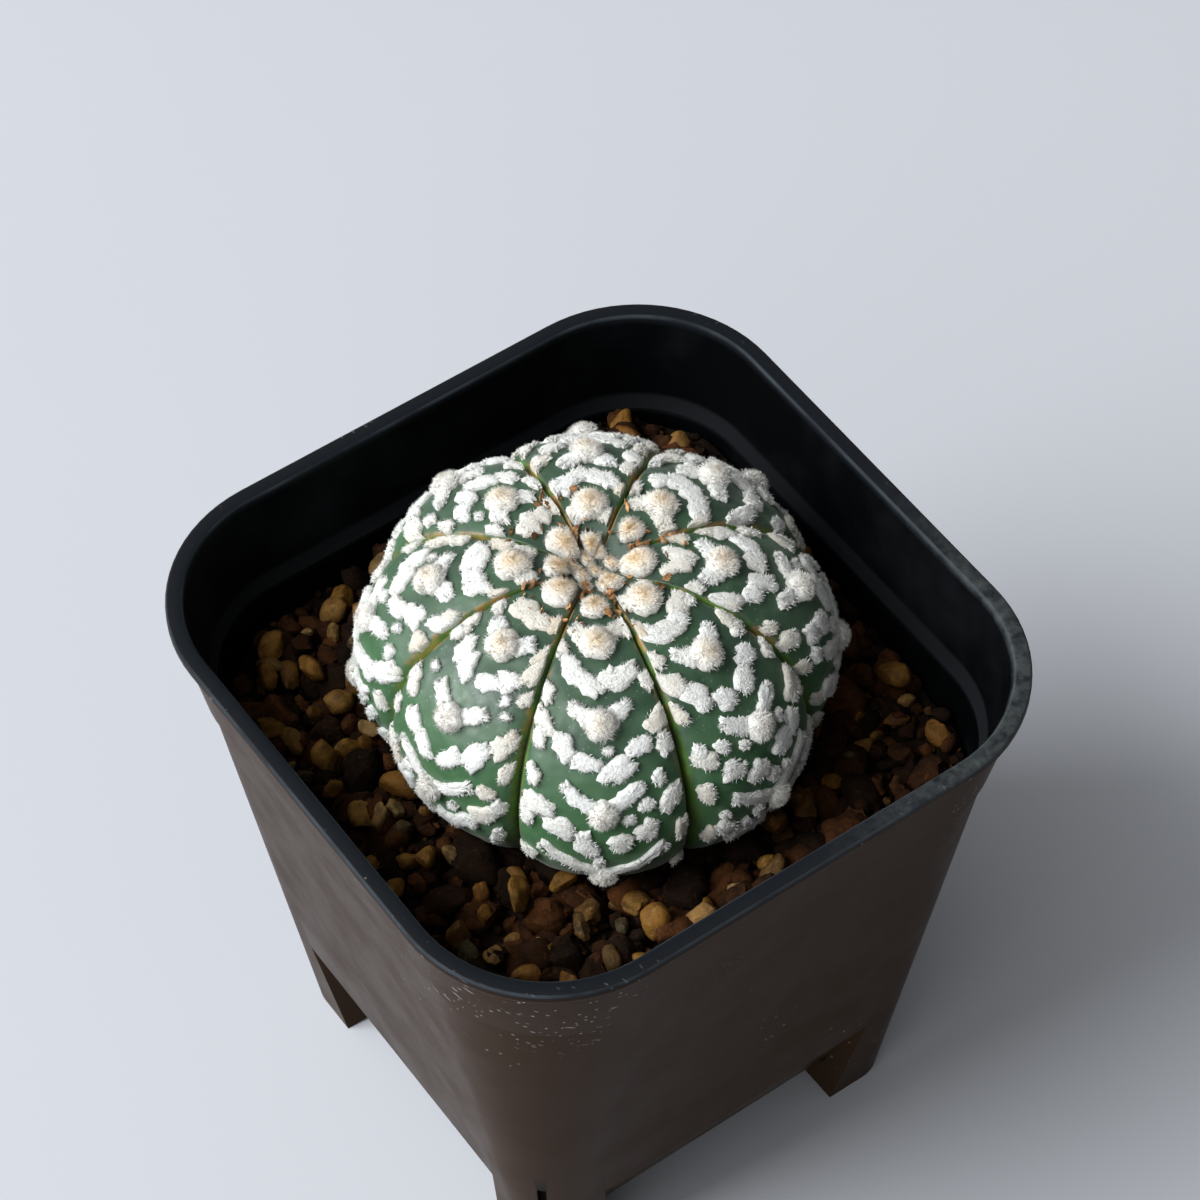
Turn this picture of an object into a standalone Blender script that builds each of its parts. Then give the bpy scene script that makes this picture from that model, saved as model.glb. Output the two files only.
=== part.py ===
"""Potted star cactus: a ribbed plant with woolly white flecks, in grit, in a square nursery pot.

Metres, +Z up. The origin is the middle of the pot's footprint, on the ground.
Three solids: pot, soil and cactus. Run with: blender --background --python part.py
"""
import math
import random

import bmesh
import bpy
import numpy as np

MM = 0.001
GAP = 0.3 * MM                      # running gap between pieces that touch
SLIVER = 0.003 * MM                 # edges shorter than this are closed up

# --- Pot: square, tapering, with a flat lip, a collar and four corner feet ---------------
POT_HEIGHT = 77.2 * MM
RIM_HALF = 37.5 * MM                # half of the rim's outer width
RIM_CORNER = 17.3 * MM
RIM_WIDTH = 1.9 * MM                # flat top of the lip
RIM_THICK = 1.4 * MM
COLLAR_BOTTOM = 64.8 * MM           # height of the step under the collar
COLLAR_STEP = 0.5 * MM
BODY_HALF = 34.5 * MM               # half width of the wall just below the collar
BODY_CORNER = 15.0 * MM
BASE_HALF = 25.0 * MM               # half width of the wall at the ground
BASE_CORNER = 4.1 * MM
WALL = 1.1 * MM
FOOT_LENGTH = 9.0 * MM              # each foot's run along a side, from the corner
STEP_TOP = 17.0 * MM                # height where a side begins to slope in between the feet
STEP_DEPTH = 4.5 * MM               # how far it has sloped in at the ground
STEP_RETURN = 0.4 * MM              # the narrow face between a foot and the sloping side
SIDE_LIFT = 0.8 * MM                # the sloping sides end this far above the ground
FLOOR_UNDER = 3.6 * MM
FLOOR_TOP = 4.8 * MM
CORNER_SIDES = 6                    # straight pieces in each round corner
DRAIN_RADIUS = 4.5 * MM
SIDE_DRAIN_RADIUS = 2.5 * MM
SIDE_DRAIN_RING = 12.5 * MM
NOTCH_WIDTH = 2.2 * MM
NOTCH_TOP = 2.4 * MM
SLIT_WIDTH = 1.0 * MM
SLIT_BOTTOM = 8.0 * MM
SLIT_TOP = 22.5 * MM

# --- Soil: a bed of grit that fills the pot to below the collar, with grains on top ------
SOIL_LEVEL = 60.4 * MM
GRAIN_PITCH = 6.0 * MM
GRAIN_SIZES = (2.1 * MM, 3.5 * MM)  # smallest and largest grain radius
GRAIN_SEED = 7

# --- Cactus: eight broad ribs round a dimpled crown --------------------------------------
RIBS = 8
FIRST_RIB = math.radians(236.9)     # direction of rib 0
PLANT_X = 1.05 * MM                 # where the crown stands over the pot
PLANT_Y = 2.05 * MM
PLANT_MIDDLE = POT_HEIGHT - 8.2 * MM  # height of the widest level
BODY_RADIUS = 25.7 * MM
CROWN_RISE = 16.6 * MM              # shoulder height over the widest level, before the dimple
CROWN_POWERS = (0.72, 0.92)         # roundness of the upper outline: radius, height
DIMPLE_DEPTH = 2.3 * MM
DIMPLE_RADIUS = 4.9 * MM
BELLY_DROP = 15.3 * MM
BELLY_POWERS = (0.82, 1.08)         # roundness of the lower outline: radius, height
ROOT_RADIUS = 7.0 * MM              # where the belly passes into the root
ROOT_END = 30.0 * MM                # the root's depth below the widest level
ROOT_TIP = 1.5 * MM
RIB_SWELL = 0.035                   # gentle rounding of a rib, as a share of the radius
GROOVE_DEPTH = 0.055                # narrow furrow between ribs, as a share of the radius
GROOVE_POWER = 9.0                  # the higher, the narrower the furrow
BODY_ROWS = (17, 5)                 # rows of faces above the soil line and in the soil
SOIL_ALONG = 44.0 * MM              # distance down the outline where the soil meets the body
# Uneven fullness of the body: lobes round the body, share of the radius, direction.
FULLNESS = (
    (1, 0.042, math.radians(-11.0)),
    (2, 0.013, math.radians(30.0)),
    (3, 0.024, math.radians(10.0)),
)

# --- Woolly marks on the ribs -------------------------------------------------------------
# Distance along each rib from the crown to its first full woolly pad.
FIRST_PAD = tuple(value * MM for value in (10.6, 7.4, 5.0, 10.8, 8.0, 4.4, 8.6, 5.2))
PAD_PITCH = 8.7 * MM                # from the first pad to the next
PAD_GROWTH = 0.5 * MM               # each pitch is longer than the last by this
ROW_DROP = 0.6 * MM                 # a row of flecks lies this far below midway between pads
YOUNG_PAD = 4.6 * MM                # the young pad stands this far before the first
YOUNG_PAD_WIDTH = 2.6 * MM
YOUNG_PAD_HEIGHT = 1.0 * MM
YOUNG_PAD_NEAREST = 1.5 * MM        # no young pad stands nearer to the crown than this
PAD_WIDTHS = (3.9 * MM, 2.3 * MM)   # near the crown, near the soil
PAD_HEIGHTS = (1.4 * MM, 0.8 * MM)
ARM_LENGTHS = (3.2 * MM, 9.0 * MM)  # near the crown, near the soil
ARM_LENGTHENING = 3.0               # the arms grow slowly at first and fast near the soil
ARM_WIDTHS = (1.9 * MM, 1.1 * MM)
ARM_RISE = math.radians(32)         # arms run outwards and up towards the crown
ARM_REACH = 0.85                    # an arm's furthest reach, as a share of the half rib
FLECK_HEIGHT = 0.6 * MM
FLECK_ROOT = 0.45 * MM              # how deep the marks' roots reach into the body
FLECK_LENGTHS = (2.2 * MM, 3.4 * MM)
FLECK_WIDTHS = (1.6 * MM, 2.2 * MM)
FLECK_FIRST = 0.20                  # the innermost fleck's place, as a share of the half rib
FLECK_STEP = 0.25                   # from one fleck of a row to the next
FLECK_CLIMB = 0.6                   # how much a row climbs towards the furrows
OUTER_CLIMB = 1.0 * MM              # the third fleck of a row stands this much higher still
EDGE_LENGTHS = (1.5 * MM, 2.5 * MM)  # small flecks beside the furrows
EDGE_WIDTHS = (1.2 * MM, 1.6 * MM)
EDGE_SIDES = (0.80, 0.88)           # how near the furrow they lie
EDGE_PITCH = 5.2 * MM
EDGE_START = 9.0 * MM
CROWN_TUFTS = 9
TUFT_WIDTH = 1.8 * MM
TUFT_HEIGHT = 0.9 * MM
TUFT_SPREAD = 0.88 * MM             # scale of the spiral the tufts stand on
MARKS_END = 41.0 * MM               # the marks stop here, just above the soil
MARK_SEED = 11
GOLDEN_ANGLE = math.pi * (3 - math.sqrt(5))


def remove_everything():
    """Start from an empty scene."""
    for item in list(bpy.data.objects):
        bpy.data.objects.remove(item, do_unlink=True)


def material(name, colour, roughness, metallic=0.0):
    """A plain Principled material."""
    made = bpy.data.materials.new(name)
    made.use_nodes = True
    shader = made.node_tree.nodes["Principled BSDF"]
    shader.inputs["Base Color"].default_value = (*colour, 1.0)
    shader.inputs["Roughness"].default_value = roughness
    shader.inputs["Metallic"].default_value = metallic
    return made


def solid(name, points, faces):
    """An object from points and faces, with every n-gon split into triangles."""
    mesh = bpy.data.meshes.new(name)
    mesh.from_pydata([tuple(point) for point in points], [], faces)
    shape = bmesh.new()
    shape.from_mesh(mesh)
    big = [face for face in shape.faces if len(face.verts) > 4]
    bmesh.ops.triangulate(shape, faces=big)
    bmesh.ops.recalc_face_normals(shape, faces=shape.faces)
    shape.to_mesh(mesh)
    shape.free()
    made = bpy.data.objects.new(name, mesh)
    bpy.context.scene.collection.objects.link(made)
    return made


def loft(name, rings):
    """A closed solid through rings of equal length, with a flat cap at either end."""
    count = len(rings[0])
    points = [point for ring in rings for point in ring]
    faces = [tuple(reversed(range(count)))]
    for level in range(len(rings) - 1):
        for i in range(count):
            j = (i + 1) % count
            low = level * count
            high = low + count
            faces.append((low + i, low + j, high + j, high + i))
    last = (len(rings) - 1) * count
    faces.append(tuple(range(last, last + count)))
    return solid(name, points, faces)


def combine(target, pieces, operation, solver="EXACT"):
    """Apply one Boolean of the pieces to the target, then remove the pieces."""
    group = bpy.data.collections.new(target.name + "_pieces")
    bpy.context.scene.collection.children.link(group)
    for piece in pieces:
        bpy.context.scene.collection.objects.unlink(piece)
        group.objects.link(piece)
    modifier = target.modifiers.new("combine", "BOOLEAN")
    modifier.operation = operation
    modifier.solver = solver
    if len(pieces) == 1:
        modifier.object = pieces[0]
    else:
        modifier.operand_type = "COLLECTION"
        modifier.collection = group
    depsgraph = bpy.context.evaluated_depsgraph_get()
    joined = bpy.data.meshes.new_from_object(target.evaluated_get(depsgraph))
    target.modifiers.clear()
    target.data = joined
    for piece in pieces:
        bpy.data.objects.remove(piece, do_unlink=True)
    bpy.data.collections.remove(group)


def keep_main_body(target):
    """Split into triangles, close up slivers and drop all but the largest connected body."""
    shape = bmesh.new()
    shape.from_mesh(target.data)
    bmesh.ops.triangulate(shape, faces=shape.faces)
    bmesh.ops.dissolve_degenerate(shape, edges=shape.edges, dist=SLIVER)
    shape.verts.ensure_lookup_table()
    waiting = set(shape.verts)
    bodies = []
    while waiting:
        body = {waiting.pop()}
        edge_of_body = list(body)
        while edge_of_body:
            point = edge_of_body.pop()
            for edge in point.link_edges:
                other = edge.other_vert(point)
                if other in waiting:
                    waiting.remove(other)
                    body.add(other)
                    edge_of_body.append(other)
        bodies.append(body)
    bodies.sort(key=len)
    for scrap in bodies[:-1]:
        bmesh.ops.delete(shape, geom=list(scrap), context="VERTS")
    shape.to_mesh(target.data)
    shape.free()


# --- Pot ----------------------------------------------------------------------------------
def wall_level(height):
    """Half width and corner radius of the tapering wall's outside at a height."""
    share = height / COLLAR_BOTTOM
    half = BASE_HALF + (BODY_HALF - BASE_HALF) * share
    corner = BASE_CORNER + (BODY_CORNER - BASE_CORNER) * share
    return half, corner


def pot_ring(half, corner, height, foot=FOOT_LENGTH, lift=0.0):
    """A level rounded square, counter-clockwise, whose sides stand back between the feet."""
    back = STEP_DEPTH * max(0.0, 1.0 - height / STEP_TOP)
    edge = min(half - foot, half - corner - STEP_RETURN)
    quarter = [
        (half, -edge, height),
        (half - back, -edge + STEP_RETURN, height + lift),
        (half - back, edge - STEP_RETURN, height + lift),
        (half, edge, height),
    ]
    middle = half - corner
    for i in range(CORNER_SIDES + 1):
        angle = math.pi / 2 * i / CORNER_SIDES
        quarter.append((middle + corner * math.cos(angle), middle + corner * math.sin(angle), height))
    ring = []
    for turn in range(4):
        cos, sin = round(math.cos(math.pi / 2 * turn)), round(math.sin(math.pi / 2 * turn))
        ring += [(x * cos - y * sin, x * sin + y * cos, z) for x, y, z in quarter]
    return ring


def inner_ring(height, inset, lift=0.0):
    """A ring that lies inside the tapering wall's outside by an inset, feet included."""
    half, corner = wall_level(height)
    return pot_ring(half - inset, max(corner - inset, MM), height, FOOT_LENGTH - 2 * inset, lift)


def outer_ring(height, lift=0.0):
    """A ring on the outside of the tapering wall."""
    return pot_ring(*wall_level(height), height, lift=lift)


def cylinder(name, radius, bottom, top, x, y, sides=16):
    """An upright prism with many sides, used as a drill."""
    angles = [2 * math.pi * i / sides for i in range(sides)]
    return loft(name, [
        [(x + radius * math.cos(a), y + radius * math.sin(a), z) for a in angles]
        for z in (bottom, top)
    ])


def turned_box(name, size, centre, turn):
    """A box of a given size, centred on a point and turned about the vertical."""
    corners = ((-1, -1), (1, -1), (1, 1), (-1, 1))
    cos, sin = math.cos(turn), math.sin(turn)
    rings = []
    for z in (-size[2] / 2, size[2] / 2):
        ring = []
        for cx, cy in corners:
            x, y = cx * size[0] / 2, cy * size[1] / 2
            ring.append((centre[0] + x * cos - y * sin, centre[1] + x * sin + y * cos, centre[2] + z))
        rings.append(ring)
    return loft(name, rings)


def pot_cutters():
    """Drain holes in the floor, a notch under each side and a slit up each corner."""
    cutters = [cylinder("drain", DRAIN_RADIUS, 0.0, 2 * FLOOR_TOP, 0.0, 0.0)]
    slit_height = SLIT_TOP - SLIT_BOTTOM
    slit_middle = (SLIT_TOP + SLIT_BOTTOM) / 2
    half, corner = wall_level(slit_middle)
    corner_reach = (half - corner) * math.sqrt(2) + corner
    for turn in range(4):
        side = math.pi / 2 * turn
        diagonal = side + math.pi / 4
        x, y = SIDE_DRAIN_RING * math.cos(diagonal), SIDE_DRAIN_RING * math.sin(diagonal)
        cutters.append(cylinder("side_drain", SIDE_DRAIN_RADIUS, 0.0, 2 * FLOOR_TOP, x, y, 12))
        reach = BASE_HALF - STEP_DEPTH
        place = (reach * math.cos(side), reach * math.sin(side), NOTCH_TOP / 2 - MM)
        cutters.append(turned_box("notch", (4 * MM, NOTCH_WIDTH, NOTCH_TOP + 2 * MM), place, side))
        place = (corner_reach * math.cos(diagonal), corner_reach * math.sin(diagonal), slit_middle)
        cutters.append(turned_box("slit", (6 * MM, SLIT_WIDTH, slit_height), place, diagonal))
    return cutters


def build_pot():
    """The pot as one loft: under the floor, down the skirt, up the outside, over the lip, in."""
    collar_half = BODY_HALF + COLLAR_STEP
    collar_top = RIM_HALF - 0.8 * MM
    lip_under = POT_HEIGHT - RIM_THICK
    inner_half = RIM_HALF - RIM_WIDTH
    ledge = COLLAR_BOTTOM + 0.4 * MM
    rings = [
        inner_ring(FLOOR_UNDER, WALL),
        inner_ring(0.0, WALL, SIDE_LIFT),
        outer_ring(0.0, SIDE_LIFT),
        outer_ring(STEP_TOP),
        outer_ring(COLLAR_BOTTOM),
        pot_ring(collar_half, BODY_CORNER + COLLAR_STEP, COLLAR_BOTTOM + 0.5 * MM),
        pot_ring(collar_top, RIM_CORNER - 0.8 * MM, lip_under - 0.3 * MM),
        pot_ring(RIM_HALF, RIM_CORNER, lip_under),
        pot_ring(RIM_HALF, RIM_CORNER, POT_HEIGHT - 0.3 * MM),
        pot_ring(RIM_HALF - 0.3 * MM, RIM_CORNER - 0.3 * MM, POT_HEIGHT),
        pot_ring(inner_half, RIM_CORNER - RIM_WIDTH, POT_HEIGHT),
        pot_ring(inner_half - 0.2 * MM, RIM_CORNER - RIM_WIDTH, POT_HEIGHT - 0.5 * MM),
        pot_ring(collar_half - WALL, BODY_CORNER - WALL / 2, ledge + 0.6 * MM),
        inner_ring(ledge - 0.6 * MM, WALL + COLLAR_STEP / 2),
        inner_ring(STEP_TOP, WALL),
        inner_ring(FLOOR_TOP, WALL),
    ]
    pot = loft("pot", rings)
    combine(pot, pot_cutters(), "DIFFERENCE")
    keep_main_body(pot)
    return pot


# --- Cactus -------------------------------------------------------------------------------
def outline():
    """Radius and height of the body's outline and the distance along it from the crown."""
    upper = np.linspace(math.pi / 2, 0.0, 160)
    radius = BODY_RADIUS * np.cos(upper).clip(0) ** CROWN_POWERS[0]
    height = CROWN_RISE * np.sin(upper) ** CROWN_POWERS[1]
    height -= DIMPLE_DEPTH * np.exp(-(radius / DIMPLE_RADIUS) ** 2)
    lower = np.linspace(0.0, math.pi / 2, 120)[1:]
    belly_radius = BODY_RADIUS * np.cos(lower).clip(0) ** BELLY_POWERS[0]
    belly_height = -BELLY_DROP * np.sin(lower) ** BELLY_POWERS[1]
    above_root = belly_radius > ROOT_RADIUS
    radius = np.concatenate([radius, belly_radius[above_root], [ROOT_TIP]])
    height = np.concatenate([height, belly_height[above_root], [-ROOT_END]])
    steps = np.hypot(np.diff(radius), np.diff(height))
    return radius, height, np.concatenate([[0.0], np.cumsum(steps)])


OUTLINE = outline()


def fullness(direction, height):
    """How much fuller the body is in a direction; it grows from the crown down."""
    share = ((0.9 * CROWN_RISE - height) / (0.9 * CROWN_RISE + 4 * MM)).clip(0.0, 1.0)
    share = share * share * (3 - 2 * share)
    total = sum(size * np.cos(lobes * (direction - way)) for lobes, size, way in FULLNESS)
    return 1 + share * total


def skin(direction, along, lift=0.0):
    """Points of the skin for directions round the plant and distances along its outline.

    Each rib swells gently and the furrows cut in sharply; lift raises the points outwards.
    """
    radius = np.interp(along, OUTLINE[2], OUTLINE[0])
    height = np.interp(along, OUTLINE[2], OUTLINE[1])
    side = np.abs(((direction - FIRST_RIB) / (2 * math.pi) * RIBS + 0.5) % 1 - 0.5) * 2
    ribbed = (radius / (0.5 * BODY_RADIUS)).clip(0, 1)
    furrow = RIB_SWELL * side ** 2 + GROOVE_DEPTH * side ** GROOVE_POWER
    reach = radius * (1 - furrow * ribbed) * fullness(direction, height)
    step = 0.2 * MM
    ahead_r = np.interp(along + step, OUTLINE[2], OUTLINE[0])
    behind_r = np.interp(along - step, OUTLINE[2], OUTLINE[0])
    ahead_h = np.interp(along + step, OUTLINE[2], OUTLINE[1])
    behind_h = np.interp(along - step, OUTLINE[2], OUTLINE[1])
    length = np.hypot(ahead_r - behind_r, ahead_h - behind_h)
    outwards = (behind_h - ahead_h) / length
    upwards = (ahead_r - behind_r) / length
    reach = reach + lift * outwards
    return np.stack([
        PLANT_X + reach * np.cos(direction),
        PLANT_Y + reach * np.sin(direction),
        PLANT_MIDDLE + height + lift * upwards,
    ], axis=-1)


def body_rows():
    """Distances along the outline of the body's rows: even above the soil, wider in it."""
    visible = np.linspace(2.5 * MM, SOIL_ALONG, BODY_ROWS[0])
    buried = np.linspace(SOIL_ALONG + 4 * MM, OUTLINE[2][-1], BODY_ROWS[1])
    return np.concatenate([visible, buried])


def cactus_body(name, lift=0.0, rows=None):
    """The ribbed body as a closed solid; lift grows it outwards on all sides."""
    shares = np.array([0.0, 0.36, 0.68, 0.88, 1.0])
    half_rib = math.pi / RIBS
    offsets = np.concatenate([-shares[:0:-1], shares[:-1]]) * half_rib
    directions = np.concatenate([FIRST_RIB + 2 * half_rib * k + offsets for k in range(RIBS)])
    rows = body_rows() if rows is None else rows
    rings = [skin(directions, np.full_like(directions, along), lift) for along in rows]
    crown = skin(np.zeros(1), np.zeros(1), lift)
    tip = rings[-1].mean(axis=0, keepdims=True)
    points = np.concatenate([crown, *rings, tip])
    count = len(directions)
    faces = []
    for i in range(count):
        j = (i + 1) % count
        faces.append((0, 1 + i, 1 + j))
        for level in range(len(rings) - 1):
            low = 1 + level * count
            faces.append((low + i, low + count + i, low + count + j, low + j))
        last = 1 + (len(rings) - 1) * count
        faces.append((last + i, last + count, last + j))
    return solid(name, points, faces)


def rib_half_width(along):
    """Half of a rib's width at a distance from the crown."""
    return math.pi / RIBS * float(np.interp(along, OUTLINE[2], OUTLINE[0]))


def on_rib(rib, along, across, x, y, turn, lift):
    """Skin points for a small flat pattern x, y laid on a rib and turned; lift raises them.

    along runs down the rib from the crown, across runs sideways from the rib's crest.
    """
    cos, sin = math.cos(turn), math.sin(turn)
    down = along + x * sin + y * cos
    side = across + x * cos - y * sin
    radius = np.interp(along, OUTLINE[2], OUTLINE[0])
    return skin(FIRST_RIB + 2 * math.pi / RIBS * rib + side / radius, down, lift)


def dome(name, width, height, sides, rings, lay):
    """A round woolly dome: a blunt knob with few sides and its root sunk in.

    rings give shares of its half width and of its height above the skin; lay turns its
    flat pattern x, y and its lift into points of the skin.
    """
    angles = 2 * math.pi * np.arange(sides) / sides
    levels = [(1.0, -FLECK_ROOT)] + [(scale, share * height) for scale, share in rings]
    x = np.concatenate([scale * width / 2 * np.cos(angles) for scale, _ in levels])
    y = np.concatenate([scale * width / 2 * np.sin(angles) for scale, _ in levels])
    points = lay(x, y, np.repeat([lift for _, lift in levels], sides))
    return loft(name, [points[i * sides:(i + 1) * sides] for i in range(len(levels))])


def pad(rib, along, width, height):
    """A woolly pad on a rib's crest."""
    def over_crest(x, y, lift):
        return on_rib(rib, along, 0.0, x, y, 0.0, lift)

    return dome("pad", width, height, 6, ((1.0, 0.4), (0.55, 1.0)), over_crest)


def crown_tufts():
    """Young tufts in the dimple, on a golden-angle spiral round the middle of the crown."""
    made = []
    for i in range(CROWN_TUFTS):
        direction = i * GOLDEN_ANGLE + 0.4
        along = 0.4 * MM + TUFT_SPREAD * math.sqrt(i)
        place = (along * math.cos(direction), along * math.sin(direction))

        def over_crown(x, y, lift, place=place):
            x, y = place[0] + x, place[1] + y
            return skin(np.arctan2(y, x), np.hypot(x, y), lift)

        made.append(dome("tuft", TUFT_WIDTH, TUFT_HEIGHT, 5, ((0.6, 1.0),), over_crown))
    return made


def fleck(rib, along, across, length, width, turn=0.0):
    """A woolly fleck: a low faceted dome that follows the skin, with its root sunk in.

    turn is the angle of the fleck's length from straight across the rib. A long fleck has
    six sides and a ridge along its top, a shorter one four or five sides and a single top.
    """
    ridge = max(0.0, length - width) / 2
    root = width / 2 * (1 + FLECK_ROOT / FLECK_HEIGHT)
    long_fleck = ridge > 0.8 * MM
    sides = 6 if long_fleck else 5 if length > EDGE_LENGTHS[1] else 4
    angles = 2 * math.pi * np.arange(sides) / sides
    if long_fleck:
        x = np.append(ridge * np.sign(np.cos(angles)) + root * np.cos(angles), [ridge, -ridge])
        right, left = sides, sides + 1
        faces = [(5, 0, right), (0, 1, right), (2, 3, left), (3, 4, left)]
        faces += [(1, 2, left), (1, left, right), (4, 5, right), (4, right, left)]
    else:
        x = np.append((ridge + root) * np.cos(angles), 0.0)
        faces = [(i, (i + 1) % sides, sides) for i in range(sides)]
    tops = len(x) - sides
    y = np.append(root * np.sin(angles), [0.0] * tops)
    lift = np.array([-FLECK_ROOT] * sides + [FLECK_HEIGHT] * tops)
    points = on_rib(rib, along, across, x, y, turn, lift)
    return solid("fleck", points, [tuple(range(sides))] + faces)


def between(pair, share):
    """The value a share of the way from the first of a pair to the second."""
    return pair[0] + (pair[1] - pair[0]) * min(max(share, 0.0), 1.0)


def pads_and_arms(rib, along):
    """A woolly pad on the crest with the two arms of its V."""
    age = along / MARKS_END
    made = [pad(rib, along, between(PAD_WIDTHS, age), between(PAD_HEIGHTS, age))]
    room = ARM_REACH * rib_half_width(along) / math.cos(ARM_RISE)
    length = min(between(ARM_LENGTHS, age ** ARM_LENGTHENING), room)
    for hand in (-1, 1):
        middle = along - length / 2 * math.sin(ARM_RISE)
        side = hand * length / 2 * math.cos(ARM_RISE)
        made.append(fleck(rib, middle, side, length, between(ARM_WIDTHS, age), -hand * ARM_RISE))
    return made


def fleck_row(rib, along, draw):
    """A row of flecks in a V between two pads, with uneven sizes and turns."""
    half = rib_half_width(along)
    per_side = 1 if half < 4 * MM else 2 if half < 7 * MM else 3
    made = []
    for hand in (-1, 1):
        for i in range(per_side):
            side = half * (FLECK_FIRST + FLECK_STEP * i + draw.uniform(-0.03, 0.03))
            up = FLECK_CLIMB * side + (OUTER_CLIMB if i == 2 else 0.0)
            place = along - up + draw.uniform(-0.5, 0.5) * MM
            length = draw.uniform(*FLECK_LENGTHS)
            width = draw.uniform(*FLECK_WIDTHS)
            turn = -hand * ARM_RISE + draw.uniform(-0.7, 0.7)
            made.append(fleck(rib, place, hand * side, length, width, turn))
    return made


def edge_flecks(rib, draw):
    """Small flecks along both furrows of a rib."""
    made = []
    for hand in (-1, 1):
        along = EDGE_START + draw.uniform(0, 3) * MM
        while along < MARKS_END:
            side = hand * rib_half_width(along) * draw.uniform(*EDGE_SIDES)
            length = draw.uniform(*EDGE_LENGTHS)
            turn = math.pi / 2 + draw.uniform(-0.5, 0.5)
            made.append(fleck(rib, along, side, length, draw.uniform(*EDGE_WIDTHS), turn))
            along += EDGE_PITCH * draw.uniform(0.75, 1.3)
    return made


def rib_marks(rib, draw):
    """All the woolly marks of one rib, from the crown down to the soil."""
    made = []
    young = FIRST_PAD[rib] - YOUNG_PAD
    if young > YOUNG_PAD_NEAREST:
        made.append(pad(rib, young, YOUNG_PAD_WIDTH, YOUNG_PAD_HEIGHT))
    along = FIRST_PAD[rib]
    pitch = PAD_PITCH
    while along < MARKS_END:
        made += pads_and_arms(rib, along)
        middle = along + pitch / 2 + ROW_DROP
        if middle < MARKS_END:
            made += fleck_row(rib, middle, draw)
        along += pitch
        pitch += PAD_GROWTH
    return made + edge_flecks(rib, draw)


def build_cactus():
    """The plant: its ribbed body with every woolly mark fused into it."""
    draw = random.Random(MARK_SEED)
    cactus = cactus_body("cactus")
    marks = [piece for rib in range(RIBS) for piece in rib_marks(rib, draw)] + crown_tufts()
    combine(cactus, marks, "UNION", "MANIFOLD")
    keep_main_body(cactus)
    return cactus


# --- Soil ---------------------------------------------------------------------------------
def soil_space(name, top, inset):
    """The room inside the pot up to a height, kept clear of the wall and floor by an inset."""
    rings = [inner_ring(FLOOR_TOP + GAP, WALL + inset), inner_ring(STEP_TOP, WALL + inset)]
    rings.append(inner_ring(top, WALL + inset + COLLAR_STEP / 2))
    return loft(name, rings)


def grain(centre, radii, draw):
    """A rough grain: a small ball of twenty faces with uneven corners."""
    shape = bmesh.new()
    bmesh.ops.create_icosphere(shape, subdivisions=1, radius=1.0)
    spin = draw.uniform(0, 2 * math.pi)
    cos, sin = math.cos(spin), math.sin(spin)
    for point in shape.verts:
        rough = draw.uniform(0.82, 1.15)
        x, y, z = (point.co[i] * radii[i] * rough for i in range(3))
        point.co = (centre[0] + x * cos - y * sin, centre[1] + x * sin + y * cos, centre[2] + z)
    mesh = bpy.data.meshes.new("grain")
    shape.to_mesh(mesh)
    shape.free()
    made = bpy.data.objects.new("grain", mesh)
    bpy.context.scene.collection.objects.link(made)
    return made


def grains(draw):
    """Grains scattered over the bed on a loose grid, outside the plant."""
    made = []
    reach = int(BODY_HALF / GRAIN_PITCH) + 1
    for row in range(-reach, reach + 1):
        for column in range(-reach, reach + 1):
            x = (column + 0.5 * (row % 2)) * GRAIN_PITCH + draw.uniform(-0.9, 0.9) * MM
            y = row * GRAIN_PITCH * 0.87 + draw.uniform(-0.9, 0.9) * MM
            size = draw.uniform(*GRAIN_SIZES)
            flat = [size * draw.uniform(0.8, 1.2), size, size * draw.uniform(0.7, 0.95)]
            place = (x, y, SOIL_LEVEL + draw.uniform(-0.5, 0.6) * MM)
            outside_plant = math.hypot(x - PLANT_X, y - PLANT_Y) > 0.86 * BODY_RADIUS
            inside_pot = max(abs(x), abs(y)) < BODY_HALF - MM
            if outside_plant and inside_pot:
                made.append(grain(place, flat, draw))
    return made


def build_soil():
    """The bed of grit with its top grains fused in and a plain hole for the plant."""
    draw = random.Random(GRAIN_SEED)
    soil = soil_space("soil", SOIL_LEVEL, GAP)
    combine(soil, grains(draw), "UNION")
    combine(soil, [soil_space("room", COLLAR_BOTTOM - MM, GAP)], "INTERSECT")
    buried_rows = body_rows()[BODY_ROWS[0] // 2:]
    hole = cactus_body("hole", FLECK_HEIGHT + GAP, buried_rows)
    combine(soil, [hole], "DIFFERENCE")
    keep_main_body(soil)
    return soil


def finish(target, look, sharp_angle):
    """Give a solid its material and smooth shading with crisp creases."""
    target.data.materials.clear()
    target.data.materials.append(look)
    target.data.shade_smooth()
    target.data.set_sharp_from_angle(angle=math.radians(sharp_angle))


def main():
    """Build the pot, the soil and the plant."""
    remove_everything()
    finish(build_pot(), material("black_plastic", (0.018, 0.016, 0.014), 0.42), 30)
    finish(build_soil(), material("gritty_soil", (0.085, 0.045, 0.02), 0.95), 20)
    finish(build_cactus(), material("green_skin", (0.05, 0.14, 0.06), 0.6), 40)


main()
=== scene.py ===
"""Looks of the potted star cactus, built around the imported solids. Metres, +Z up.

The pot, the soil and the plant each stand for their solid in finer form, worked out from the
same named sizes. Everything rides on the one body, "root".
"""
import math
import random

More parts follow.
